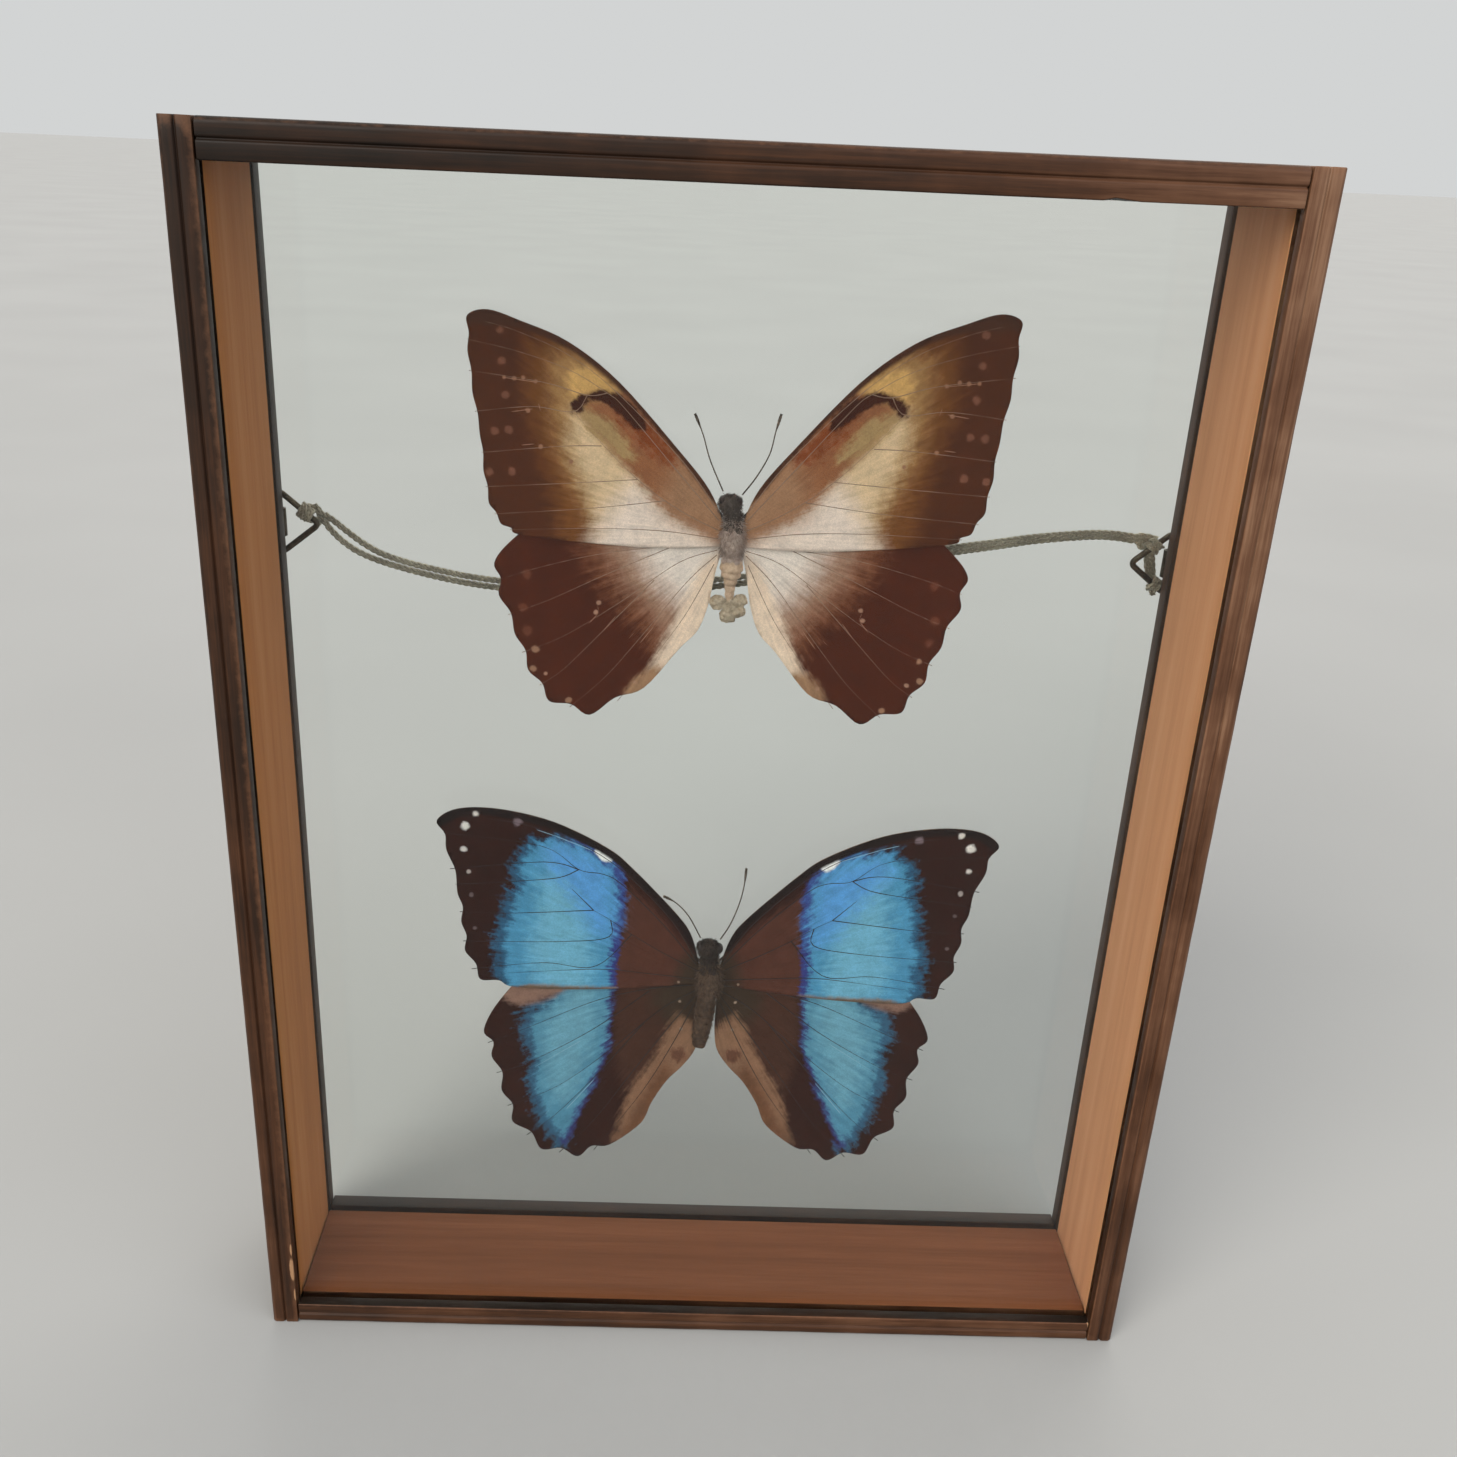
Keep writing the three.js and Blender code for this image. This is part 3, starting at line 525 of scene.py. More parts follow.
# Bodies as overlapping rounded lumps, as in the CAD: [x, z, half width, half thickness, half height]
LUMPS = {
    "upper": [
        (-0.8, 7, 2.35, 2.1, 2.2), (-2.3, 7.8, 0.9, 1.1, 1.1), (0.9, 7.7, 0.9, 1.1, 1.1),
        (0, 4.6, 1.9, 1.8, 1.6), (0, -0.3, 2.35, 2.3, 5.6),
    ],
    "lower": [
        (-0.3, 8.6, 2.7, 2.3, 2.5), (-2.3, 9.3, 1, 1.2, 1.2), (2, 8.9, 1.1, 1.2, 1.2),
        (0, 5.6, 2.1, 2, 1.8), (0.1, 0.5, 2.7, 2.4, 6.2),
    ],
}

# Abdomens: ends [x, z] from the thorax centre, and the rings' radii. One ring's profile is shares
# of its radius at shares of its height.
ABDOMENS = {
    "upper": {"start": (0.2, -4.2), "end": (-0.1, -14.4), "radii": [2.3, 2.5, 2.15, 1.5, 1.15, 1, 0.8]},
    "lower": {
        "start": (0, -3.6), "end": (-1.6, -18.6), "radii": [2, 2.4, 2.45, 2.4, 2.3, 2.2, 2.05, 1.7],
    },
}
RING_PROFILE = [(0.9, 0.06), (0.99, 0.3), (1, 0.6), (0.96, 0.88)]

# Dried lumps behind the upper abdomen, in the same way as the bodies' lumps
RESIDUE = [
    (-2.5, -14.1, 1.8, 1.4, 1.5), (2.2, -13.6, 1.6, 1.3, 1.5), (2.1, -15.9, 1.5, 1.2, 1.4),
    (-0.2, -16.9, 1.8, 1.4, 1.6), (0.1, -14.7, 1.6, 1.2, 1.8),
]

# A leg [outward, up, depth] and a palp [outward, forward, up from the head], and how far the
# eyes stand forward
LEG = [(1, 2.6, 31.2), (4.4, 5.6, 32.3), (6.6, 1.2, 32.8), (8.2, -2, 33.2)]
LEG_RADIUS = 0.22
PALP = [(0.6, 0.4, 0.9), (0.75, 0.9, 1.8), (0.5, 1, 2.4)]
PALP_RADIUS = 0.38
EYE_FORWARD = 0.35

# Antennae: [x, z] from the thorax centre
ANTENNAE = {
    "upper_antenna_left": [(-2.4, 9.7), (-5.3, 15.9), (-7, 21.1), (-8.8, 25.2)],
    "upper_antenna_right": [(1.6, 9.1), (4.3, 12.9), (6.7, 17.6), (7.7, 22.3), (8.6, 25.8)],
    "lower_antenna_left": [(-2.4, 11.6), (-5.3, 17.1), (-8.3, 20.5), (-11.4, 22.3)],
    "lower_antenna_right": [(2.3, 11.3), (4.4, 15.3), (6.2, 20.7), (7.1, 25.6), (7.4, 30.2)],
}
ANTENNA_RADIUS = 0.17

# Body hairs: [how many, length] on each lump, made in tufts of so many, and their radii. Above
# these shares of the thorax's half height the skin is dark, and has the hair's colour.
HEAD_HAIRS = (500, 0.8)
NECK_HAIRS = (350, 1)
THORAX_HAIRS = {"upper": (1500, 1.4), "lower": (1500, 1.7)}
TAIL_HAIRS = (110, 0.8)
TUFT = 25
HAIR_ROOT = 0.06
HAIR_TIP = 0.006
DARK_FROM = 0.3
FURRY_FROM = -0.85

# Stain colours of the frame, from nearly black to thin
STAIN = [(0, "#160e08"), (0.3, "#29180d"), (0.55, "#3f2616"), (0.8, "#583b29"), (1, "#745641")]

# Slivers chipped off the lip, down to bare wood, and a nick in the top rail's lower edge:
# [x, depth, z] and half width. A sliver is CHIP_STRETCH times as high as it is wide.
CHIPS = [((-95.3, 0, 16), 0.55), ((-95.1, 0, 8.5), 0.3), ((-95.2, 0, 22), 0.25), ((94.6, 0.2, 6), 0.35)]
CHIP_STRETCH = 6
NICK_PLACE = (62.5, 0.5, 257)
NICK_RADIUS = 2.4
NICK_DEPTH = 0.7


# Material tools

def colour(code):
    """A linear RGBA colour from an sRGB hex code."""
    parts = [int(code[k:k + 2], 16) / 255 for k in (1, 3, 5)]
    return tuple(((p + 0.055) / 1.055) ** 2.4 if p > 0.04045 else p / 12.92 for p in parts) + (1,)


def add_node(material, kind, inputs=None, stops=None, output=None, **settings):
    """Adds a shader node with its settings, colour stops, and inputs that are values or sockets
    to link. Gives the named output, or else the first one in use."""
    tree = material.node_tree
    made = tree.nodes.new("ShaderNode" + kind)
    for name, value in settings.items():
        setattr(made, name, value)
    if stops:
        while len(made.color_ramp.elements) < len(stops):
            made.color_ramp.elements.new(0.5)
        for element, (position, code) in zip(made.color_ramp.elements, stops):
            element.position = position
            element.color = colour(code)
    for key, value in (inputs or {}).items():
        if isinstance(value, bpy.types.NodeSocket):
            tree.links.new(value, made.inputs[key])
        else:
            made.inputs[key].default_value = value
    return made.outputs[output] if output else next(s for s in made.outputs if s.enabled)


def new_material(name, **constants):
    """A material with the given constants on its Principled shader's own sockets."""
    material = bpy.data.materials.new(name)
    material.use_nodes = True
    shader = material.node_tree.nodes["Principled BSDF"]
    for socket, value in constants.items():
        shader.inputs[socket.replace("_", " ")].default_value = value
    return material


def millimetres(material, scale=(1, 1, 1)):
    """Object coordinates in millimetres, stretched by the scale."""
    where = add_node(material, "TexCoord", output="Object")
    return add_node(material, "Mapping", {"Vector": where, "Scale": [s / MM for s in scale]})


def connect(material, paint, roughness=None, height=None, strength=0.3, depth=0.05):
    """Connects the shader's colour, its roughness if that isn't a constant, and the height of a
    relief that is depth millimetres deep."""
    shader = material.node_tree.nodes["Principled BSDF"]
    outputs = {"Base Color": paint, "Roughness": roughness}
    if height is not None:
        relief = {"Strength": strength, "Distance": depth * MM, "Height": height}
        outputs["Normal"] = add_node(material, "Bump", relief)
    for socket, output in outputs.items():
        if output is not None:
            material.node_tree.links.new(output, shader.inputs[socket])
    return material


def paint_over(material, under, code, distance, uneven, sway, none_at, full_at, most=1, ramp="LINEAR"):
    """Lays a colour over the one under it, by a distance that the uneven noise sways: none of it
    where that is none_at, and the most of it where that is full_at."""
    swayed = add_node(material, "Math", {0: uneven, 1: sway, 2: distance}, operation="MULTIPLY_ADD")
    limits = {"Value": swayed, "From Min": none_at, "From Max": full_at, "To Max": most}
    share = add_node(material, "MapRange", limits, interpolation_type=ramp)
    return add_node(material, "Mix", {0: share, 6: under, 7: colour(code)}, data_type="RGBA")


def one_noise_finish(material, stops, gloss, relief=None, **settings):
    """A finish with colour, roughness and relief that all follow one noise. gloss is the
    roughness where the noise is low and where it is high, and relief its strength and depth."""
    inputs = {"Vector": millimetres(material)} | settings
    patches = add_node(material, "TexNoise", inputs)
    paint = add_node(material, "ValToRGB", {"Fac": patches}, stops=stops)
    rough = add_node(material, "MapRange", {"Value": patches, "To Min": gloss[0], "To Max": gloss[1]})
    return connect(material, paint, rough, patches, *relief) if relief else connect(material, paint, rough)


# Finishes

def stained_wood(name, along, start_tone, end_tone):
    """Thin dark stain over fine-grained wood, wiped on by brush: satin, streaked along the
    board, darkened by painted shade on the lip's faces towards the opening, and lighter where it is rubbed or chipped.
    The tones are those of the board's lower or left end and of its other end, from 0, nearly black, to 1; the change
    between them is partly uneven stain and partly painted light and shade."""
    material = new_material(name, IOR=1.5, Specular_IOR_Level=0.18, Coat_Weight=0.02, Coat_Roughness=0.35)
    grain_where = millimetres(material, {"x": (0.035, 1, 1), "z": (1, 1, 0.035)}[along])
    where = millimetres(material)
    fine = {"Vector": grain_where, "Scale": 1.6, "Detail": 6, "Roughness": 0.65}
    fibres = add_node(material, "TexNoise", fine)
    broad = {"Vector": grain_where, "Scale": 0.45, "Detail": 3, "Distortion": 0.4}
    streaks = add_node(material, "TexNoise", broad)
    clouds = add_node(material, "TexNoise", {"Vector": where, "Scale": 0.035, "Detail": 4, "Roughness": 0.6})
    mottle = add_node(material, "TexNoise", {"Vector": where, "Scale": 0.5, "Detail": 5, "Roughness": 0.7})
    streaky = add_node(material, "Math", {0: streaks, 1: fibres}, operation="ADD")
    cloudy = add_node(material, "Math", {0: clouds, 1: 1.3, 2: streaky}, operation="MULTIPLY_ADD")
    uneven = add_node(material, "Math", {0: cloudy, 1: 1.65}, operation="SUBTRACT")
    distance = add_node(material, "SeparateXYZ", {0: where}, output=along.upper())
    low, high = {"x": (-WIDTH / 2, WIDTH / 2), "z": (0, HEIGHT)}[along]
    # the tone changes along the board partly as uneven stain and partly as painted light and shade
    stain_and_light_drift = add_node(material, "MapRange", {
        "Value": distance, "From Min": low, "From Max": high, "To Min": start_tone, "To Max": end_tone,
    })
    tone = add_node(material, "Math", {0: uneven, 1: 0.65, 2: stain_and_light_drift}, operation="MULTIPLY_ADD")
    wear_and_shade = add_node(material, "Attribute", output="Fac", attribute_name="wear_and_shade")
    # painted shade: where the attribute is below 0, on the lip's faces towards the opening, the tone is darkened
    painted_shade = add_node(material, "MapRange", {
        "Value": wear_and_shade, "From Min": -1, "From Max": 0, "To Min": -0.5, "To Max": 0,
    })
    tone = add_node(material, "Math", {0: tone, 1: painted_shade}, operation="ADD")
    paint = add_node(material, "ValToRGB", {"Fac": tone}, stops=STAIN)
    paint = paint_over(material, paint, "#724e37", wear_and_shade, mottle, 0.9, 0.9, 1.5, 0.6)
    chip_where = millimetres(material, (1, 1, 1 / CHIP_STRETCH))
    for (x, depth, z), radius in CHIPS:
        place = (x, depth - FRONT_TO_ORIGIN, z / CHIP_STRETCH)
        away = add_node(material, "VectorMath", {0: chip_where, 1: place}, operation="DISTANCE")
        paint = paint_over(
            material, paint, "#9c7858", away, mottle, 1.2 * radius, 1.7 * radius, 1.5 * radius, 0.8,
        )
    gloss = add_node(material, "MapRange", {"Value": mottle, "To Min": 0.36, "To Max": 0.62})
    return connect(material, paint, gloss, streaky, 0.35, 0.06)


def bare_wood(name, along, dark, mid, light):
    """Unfinished planed softwood inside the box: matt, tan, with fine straight grain."""
    material = new_material(name, IOR=1.5, Specular_IOR_Level=0.12, Roughness=0.72)
    where = millimetres(material, {"x": (0.03, 1, 1), "z": (1, 1, 0.03)}[along])
    bands = add_node(material, "TexNoise", {"Vector": where, "Scale": 0.22, "Detail": 3, "Distortion": 0.3})
    fibres = add_node(material, "TexNoise", {"Vector": where, "Scale": 1.8, "Detail": 5, "Roughness": 0.7})
    amount = add_node(material, "Math", {0: bands, 1: 1.2, 2: fibres}, operation="MULTIPLY_ADD")
    tone = add_node(material, "MapRange", {"Value": amount, "From Min": 0.45, "From Max": 1.75})
    paint = add_node(material, "ValToRGB", {"Fac": tone}, stops=[(0, dark), (0.5, mid), (1, light)])
    return connect(material, paint, None, fibres, 0.3, 0.05)


def float_glass():
    """Clear picture glass: plain refraction, mirror smooth, with the faint green of its iron and
    a weakened reflection."""
    material = new_material(
        "float_glass", IOR=1.5, Transmission_Weight=1, Specular_Tint=(0.3, 0.3, 0.3, 1),
    )
    stops = [(0, "#f8fbf9"), (1, "#fdfefd")]
    return one_noise_finish(material, stops, (0, 0.01), Scale=0.01, Detail=1)


def scaled_wing(kind, shine):
    """Wing membrane under overlapping dust-fine scales: matt and velvety, a little satin in the
    blue. The regions are attributes that hold each point's distance inside an outline. The dust
    is drawn about twice as coarse as real scales, to show."""
    pattern = PATTERNS[kind]
    material = new_material(kind + "_scales", IOR=1.45, Specular_IOR_Level=0.08)
    where = millimetres(material)
    place = add_node(material, "Attribute", output="Vector", attribute_name="place")
    fan = add_node(material, "Attribute", output="Vector", attribute_name="fan")
    ragged = add_node(material, "TexNoise", {"Vector": where, "Scale": 0.6, "Detail": 4, "Roughness": 0.65})
    rays = add_node(material, "TexNoise", {"Vector": fan, "Scale": 1, "Detail": 4, "Roughness": 0.6})
    mottle = add_node(material, "TexNoise", {"Vector": where, "Scale": 0.25, "Detail": 5, "Roughness": 0.7})
    dust = add_node(material, "TexNoise", {"Vector": where, "Scale": 3.2, "Detail": 2})
    edge = add_node(material, "Math", {0: ragged, 1: rays}, operation="ADD")
    edge = add_node(material, "Math", {0: edge, 1: 1}, operation="SUBTRACT")
    paint = colour(pattern["ground"])
    for name, code, softness, raggedness, _ in pattern["regions"]:
        inside = add_node(material, "Attribute", output="Fac", attribute_name=name)
        paint = paint_over(
            material, paint, code, inside, edge, 3 * raggedness, -softness / 2, softness / 2,
            ramp="SMOOTHSTEP",
        )
    for code, radius, points in pattern["dots"]:
        for x, z in points:
            away = add_node(material, "VectorMath", {0: place, 1: (x, 0, z)}, operation="DISTANCE")
            paint = paint_over(
                material, paint, code, away, edge, 1.5 * radius, 1.4 * radius, 0.5 * radius,
                ramp="SMOOTHSTEP",
            )
    for source, span, change in ((rays, 0.25, 0.12), (mottle, 0.2, 0.14), (dust, 0.2, 0.1)):
        light = add_node(material, "MapRange", {
            "Value": source, "From Min": 0.5 - span, "From Max": 0.5 + span,
            "To Min": 1 - change, "To Max": 1 + change,
        })
        paint = add_node(material, "VectorMath", {0: paint, 3: light}, operation="SCALE")
    satin = add_node(material, "MapRange", {"Value": dust, "To Min": shine, "To Max": shine + 0.2})
    return connect(material, paint, satin, dust, 0.25, 0.05)


def wing_underside(kind, ground, pale):
    """The wings' undersides, seen only from the back: dull mottled brown, rayed from the body."""
    material = new_material(kind + "_underside", IOR=1.45, Specular_IOR_Level=0.2, Sheen_Weight=0.05)
    where = millimetres(material)
    fan = add_node(material, "Attribute", output="Vector", attribute_name="fan")
    rays = add_node(material, "TexNoise", {"Vector": fan, "Scale": 0.7, "Detail": 3})
    mottle = add_node(material, "TexNoise", {"Vector": where, "Scale": 0.16, "Detail": 6, "Roughness": 0.7})
    amount = add_node(material, "Math", {0: rays, 1: mottle}, operation="ADD")
    tone = add_node(material, "MapRange", {"Value": amount, "From Min": 0.7, "From Max": 1.3})
    paint = add_node(material, "ValToRGB", {"Fac": tone}, stops=[(0.15, ground), (0.85, pale)])
    matt = add_node(material, "MapRange", {"Value": mottle, "To Min": 0.7, "To Max": 0.95})
    return connect(material, paint, matt)


def chitin(name, dark, light, roughness):
    """Dry insect skin: brown, slightly waxy, uneven."""
    material = new_material(name, IOR=1.5, Specular_IOR_Level=0.2)
    return one_noise_finish(
        material, [(0.3, dark), (0.7, light)], (roughness - 0.1, roughness + 0.1), (0.5, 0.1),
        Scale=0.9, Detail=5, Roughness=0.7,
    )


def dark_wire():
    """Old steel wire and sheet, darkened brown: dull gloss with rubbed and rusty patches."""
    material = new_material("darkened_steel", Metallic=0.85)
    stops = [(0.3, "#2e271f"), (0.55, "#4f473a"), (0.75, "#6b6251")]
    return one_noise_finish(material, stops, (0.6, 0.32), (0.3, 0.05), Scale=0.7, Detail=5, Roughness=0.7)


def braided_cotton():
    """Flat braided cotton cord, beige-grey with age: matt and fuzzy, fine fibres on each yarn."""
    material = new_material(
        "braided_cotton", IOR=1.45, Roughness=0.9, Sheen_Weight=0.3, Sheen_Roughness=0.5,
    )
    where = millimetres(material)
    fibres = add_node(material, "TexNoise", {"Vector": where, "Scale": 2.5, "Detail": 4, "Roughness": 0.7})
    dirt = add_node(material, "TexNoise", {"Vector": where, "Scale": 0.12, "Detail": 3})
    amount = add_node(material, "Math", {0: fibres, 1: dirt}, operation="ADD")
    tone = add_node(material, "MapRange", {"Value": amount, "From Min": 0.65, "From Max": 1.35})
    stops = [(0, "#7d7565"), (0.5, "#aaa08c"), (1, "#cbc1ac")]
    paint = add_node(material, "ValToRGB", {"Fac": tone}, stops=stops)
    return connect(material, paint, None, fibres, 0.5, 0.08)


def dried_glue():
    """A bead of clear glue gone slightly yellow: glossy and half see-through."""
    material = new_material("dried_glue", IOR=1.48, Transmission_Weight=0.6)
    stops = [(0.3, "#d8cfb4"), (0.7, "#efe9d8")]
    return one_noise_finish(material, stops, (0.12, 0.4), Scale=0.8, Detail=3)


# Shape tools

def smooth_path(points, parts=8):
    """A smooth curve through the points, with each stretch split into parts."""
    points = [Vector(p) for p in points]
    path = []
    stretches = zip([points[0]] + points, points, points[1:], points[2:] + [points[-1]])
    for before, start, end, after in stretches:
        leave = start + (end - before) / 6
        arrive = end - (after - start) / 6
        path += geometry.interpolate_bezier(start, leave, arrive, end, parts + 1)[:-1]
    return path + [points[-1]]


def even_path(path, step):
    """The same path with points an even step apart."""
    lengths = [0]
    for a, b in zip(path, path[1:]):
        lengths.append(lengths[-1] + (b - a).length)
    count = max(2, round(lengths[-1] / step))
    result = []
    k = 0
    for n in range(count + 1):
        want = lengths[-1] * n / count
        while k < len(path) - 2 and lengths[k + 1] < want:
            k += 1
        span = lengths[k + 1] - lengths[k]
        result.append(path[k].lerp(path[k + 1], (want - lengths[k]) / span if span else 0))
    return result


def path_length(path):
    return sum((b - a).length for a, b in zip(path, path[1:]))


def mesh_from(bm, name):
    """A mesh with the bmesh's shape. The bmesh is freed."""
    mesh = bpy.data.meshes.new(name)
    bm.to_mesh(mesh)
    bm.free()
    return mesh


def add_object(name, data):
    """An object in the scene that holds the mesh, light or camera."""
    made = bpy.data.objects.new(name, data)
    bpy.context.scene.collection.objects.link(made)
    return made


def add_tube(bm, path, radius, swell=None, roundness=2, material=0):
    """A closed round strand along the path. swell gives each point's share of the radius."""
    curve = bpy.data.curves.new("strand", "CURVE")
    curve.dimensions = "3D"
    curve.bevel_depth = radius
    curve.bevel_resolution = roundness
    curve.use_fill_caps = True
    spline = curve.splines.new("POLY")
    spline.points.add(len(path) - 1)
    for k, point in enumerate(path):
        spline.points[k].co = (*point, 1)
        spline.points[k].radius = swell[k] if swell else 1
    holder = bpy.data.objects.new("strand", curve)
    mesh = bpy.data.meshes.new_from_object(holder)
    strand = bmesh.new()
    strand.from_mesh(mesh)
    join_mesh(bm, strand, material)
    bpy.data.objects.remove(holder)
    bpy.data.curves.remove(curve)
    bpy.data.meshes.remove(mesh)


def join_mesh(bm, part, material):
    """Adds the part's faces to the bmesh, in one material, and frees the part."""
    for face in part.faces:
        face.material_index = material
        face.smooth = True
    mesh = mesh_from(part, "part")
    bm.from_mesh(mesh)
    bpy.data.meshes.remove(mesh)


def fused(bm, voxel, smoothing):
    """One skin round everything in the bmesh, with the creases between its lumps smoothed."""
    mesh = mesh_from(bm, "lumps")
    holder = add_object("lumps", mesh)
    remesh = holder.modifiers.new("skin", "REMESH")
    remesh.mode = "VOXEL"
    remesh.voxel_size = voxel
    soften = holder.modifiers.new("soften", "SMOOTH")
    soften.factor = 0.5
    soften.iterations = smoothing
    evaluated = holder.evaluated_get(bpy.context.evaluated_depsgraph_get())
    skin = bpy.data.meshes.new_from_object(evaluated)
    result = bmesh.new()
    result.from_mesh(skin)
    bpy.data.objects.remove(holder)
    bpy.data.meshes.remove(mesh)
    bpy.data.meshes.remove(skin)
    for face in result.faces:
        face.smooth = True
    return result


def roughen(bm, amount, size):
    """Moves each point along its normal by smooth noise of the given size."""
    bm.normal_update()
    for vert in bm.verts:
        vert.co += vert.normal * amount * noise.noise(vert.co / size)


def sharp_by_angle(bm, degrees):
    """Smooth shading, except across edges that turn more than this."""
    limit = math.radians(degrees)
    for face in bm.faces:
        face.smooth = True
    for edge in bm.edges:
        edge.smooth = len(edge.link_faces) != 2 or edge.calc_face_angle(0) < limit


def finish_piece(bm, name, slot, materials, node):
    """Makes the bmesh a piece of the part, at its place in the row frame, for the CAD node."""
    bmesh.ops.translate(bm, verts=bm.verts, vec=(0, -FRONT_TO_ORIGIN, 0))
    bmesh.ops.scale(bm, verts=bm.verts, vec=(MM, MM, MM))
    mesh = mesh_from(bm, name)
    for material in materials:
        mesh.materials.append(material)
    piece = add_object(name, mesh)
    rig.ride(piece, "root")
    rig.slot(piece, slot)
    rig.replaces(piece, node)
    return piece


def cad_copy(node):
    """A clean bmesh of a CAD node, in millimetres from the front face, with flat faces whole."""
    bm = bmesh.new()
    bm.from_mesh(frame["nodes"][node].data)
    bmesh.ops.scale(bm, verts=bm.verts, vec=(1 / MM,) * 3)
    bmesh.ops.translate(bm, verts=bm.verts, vec=(0, FRONT_TO_ORIGIN, 0))
    bmesh.ops.remove_doubles(bm, verts=bm.verts, dist=0.002)
    bmesh.ops.dissolve_limit(bm, angle_limit=math.radians(1), verts=bm.verts, edges=bm.edges)
    return bm


def bevel_sharp(bm, width, segments, degrees=35):
    """Rounds the edges that turn more than this."""
    limit = math.radians(degrees)
    sharp = [e for e in bm.edges if len(e.link_faces) == 2 and e.calc_face_angle(0) > limit]
    bmesh.ops.bevel(
        bm, geom=sharp, offset=width, segments=segments, profile=0.5, affect="EDGES",
        clamp_overlap=True, material=-1,
    )


def slice_across(bm, axis, low, high, step):
    """Cuts the shape by planes a step apart along the axis."""
    normal = Vector((0, 0, 0))
    normal[axis] = 1
    for k in range(1, int((high - low) / step)):
        bmesh.ops.bisect_plane(
            bm, geom=bm.verts[:] + bm.edges[:] + bm.faces[:], dist=1e-4,
            plane_co=normal * (low + k * step), plane_no=normal,
        )


# Camera, light and floor

def add_camera():
    data = bpy.data.cameras.new("camera")
    data.lens = CAMERA_LENS
    data.shift_x, data.shift_y = CAMERA_SHIFT
    data.clip_start = 0.01
    camera = add_object("camera", data)
    x, depth, z = CAMERA_PLACE
    camera.location = (x * MM, (depth - FRONT_TO_ORIGIN) * MM, z * MM)
    camera.rotation_euler = [math.radians(a) for a in CAMERA_TURN]
    bpy.context.scene.camera = camera


def add_sun(name, azimuth, elevation, strength, spread, tint):
    """A broad soft light from far off. Azimuth 0 is the front and 90 the right."""
    data = bpy.data.lights.new(name, "SUN")
    data.energy = strength
    data.angle = math.radians(spread)
    data.color = colour(tint)[:3]
    a, e = math.radians(azimuth), math.radians(elevation)
    towards = Vector((math.sin(a) * math.cos(e), -math.cos(a) * math.cos(e), math.sin(e)))
    add_object(name, data).rotation_euler = towards.to_track_quat("Z", "Y").to_euler()


def add_studio():
    """A pale floor under an even sky, and suns, whose light the plain refracting glass lets in."""
    world = bpy.data.worlds.new("studio")
    world.use_nodes = True
    sky = world.node_tree.nodes["Background"].inputs
    sky["Color"].default_value = colour("#f6f8f8")
    sky["Strength"].default_value = 0.7
    bpy.context.scene.world = world
    bpy.context.scene.view_settings.view_transform = "Standard"
    add_sun("window", -38, 32, 3.2, 40, "#fffaf2")
    add_sun("fill", 45, 30, 1.3, 60, "#f4f8ff")
    add_sun("back", 165, 42, 1.3, 60, "#fffaf2")
    bm = bmesh.new()
    bmesh.ops.create_grid(bm, x_segments=1, y_segments=1, size=30)
    floor = add_object("floor", mesh_from(bm, "floor"))
    floor.location.z = -0.1 * MM
    material = new_material("pale_floor", Roughness=0.9)
    soft = add_node(material, "TexNoise", {"Vector": millimetres(material), "Scale": 0.004, "Detail": 2})
    stops = [(0.3, "#979796"), (0.7, "#9b9b9a")]
    connect(material, add_node(material, "ValToRGB", {"Fac": soft}, stops=stops))
    floor.data.materials.append(material)
    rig.stage(floor)


# Cord and knots

def add_braid(bm, path):
    """Three yarns woven into a flat braid along the path, with its flat side to the front."""
    path = even_path(path, BRAID_PITCH / BRAID_STEPS)
    for yarn in range(3):
        woven = []
        for k, point in enumerate(path):
            along = (path[min(k + 1, len(path) - 1)] - path[max(k - 1, 0)]).normalized()
            across = Vector((0, 1, 0)).cross(along).normalized()
            through = along.cross(across)
            turn = 2 * math.pi * (k / BRAID_STEPS + yarn / 3)
            sway = across * BRAID_SWAY * math.sin(turn)
            woven.append(point + sway + through * BRAID_LIFT * math.sin(2 * turn))
        add_tube(bm, woven, YARN_RADIUS, roundness=1)


def add_cords(cotton, hitches):
    """The two strands. The hitches at both ends are declared with the upper one."""
    for name, route, tied in (("cord_upper", CORD_UPPER, hitches), ("cord_lower", CORD_LOWER, [])):
        path = smooth_path(route)
        bm = bmesh.new()
        add_braid(bm, path)
        piece = finish_piece(bm, "braided_" + name, "grey_cord", [cotton], name)
        row_path = [(p.x * MM, (p.y - FRONT_TO_ORIGIN) * MM, p.z * MM) for p in path]
        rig.cord(
            piece, exit=row_path[0], length=path_length(path) * MM, diameter=CORD_WIDTH * MM,
            far_end="knot", stiffness="limp", lay="hanging", path=row_path, with_pieces=tied,
        )


def ring_point(side, inward, lift, back=0):
    """A point counted from the middle of a ring's straight side: inward, up, and to the back."""
    sign = {"left": -1, "right": 1}[side]
    return Vector((sign * (RING_SIDE - inward), RING_DEPTH + back, RING_HEIGHT[side] + lift))


def leg_height(leg, inward):
    """How high the ring's upper or lower leg is, this far inward from its straight side."""
    outer = {"upper": RING_TOP, "lower": RING_LOW}[leg]
    return outer + inward * (RING_APEX - outer) / RING_REACH


def turns_round(start, end, radius, turns):
    """A helix round the line from start to end."""
    axis = (end - start).normalized()
    side = axis.orthogonal().normalized()
    steps = round(16 * turns)
    return [
        start.lerp(end, k / steps) + Quaternion(axis, 2 * math.pi * k / 16) @ side * radius
        for k in range(steps + 1)
    ]


def add_knot(side, cotton):
    """The cord's turns round a ring's legs, and the strands that cross over them."""
    bm = bmesh.new()
    for leg, first, last, turns in KNOTS[side]["turns"]:
        start, end = (ring_point(side, inward, leg_height(leg, inward)) for inward in (first, last))
        add_braid(bm, turns_round(start, end, TURN_RADIUS, turns))
    for strand in KNOTS[side]["strands"]:
        add_braid(bm, smooth_path([ring_point(side, *point) for point in strand]))
    return finish_piece(bm, "hitch_" + side, "grey_cord", [cotton], "knot_" + side)


# Frame

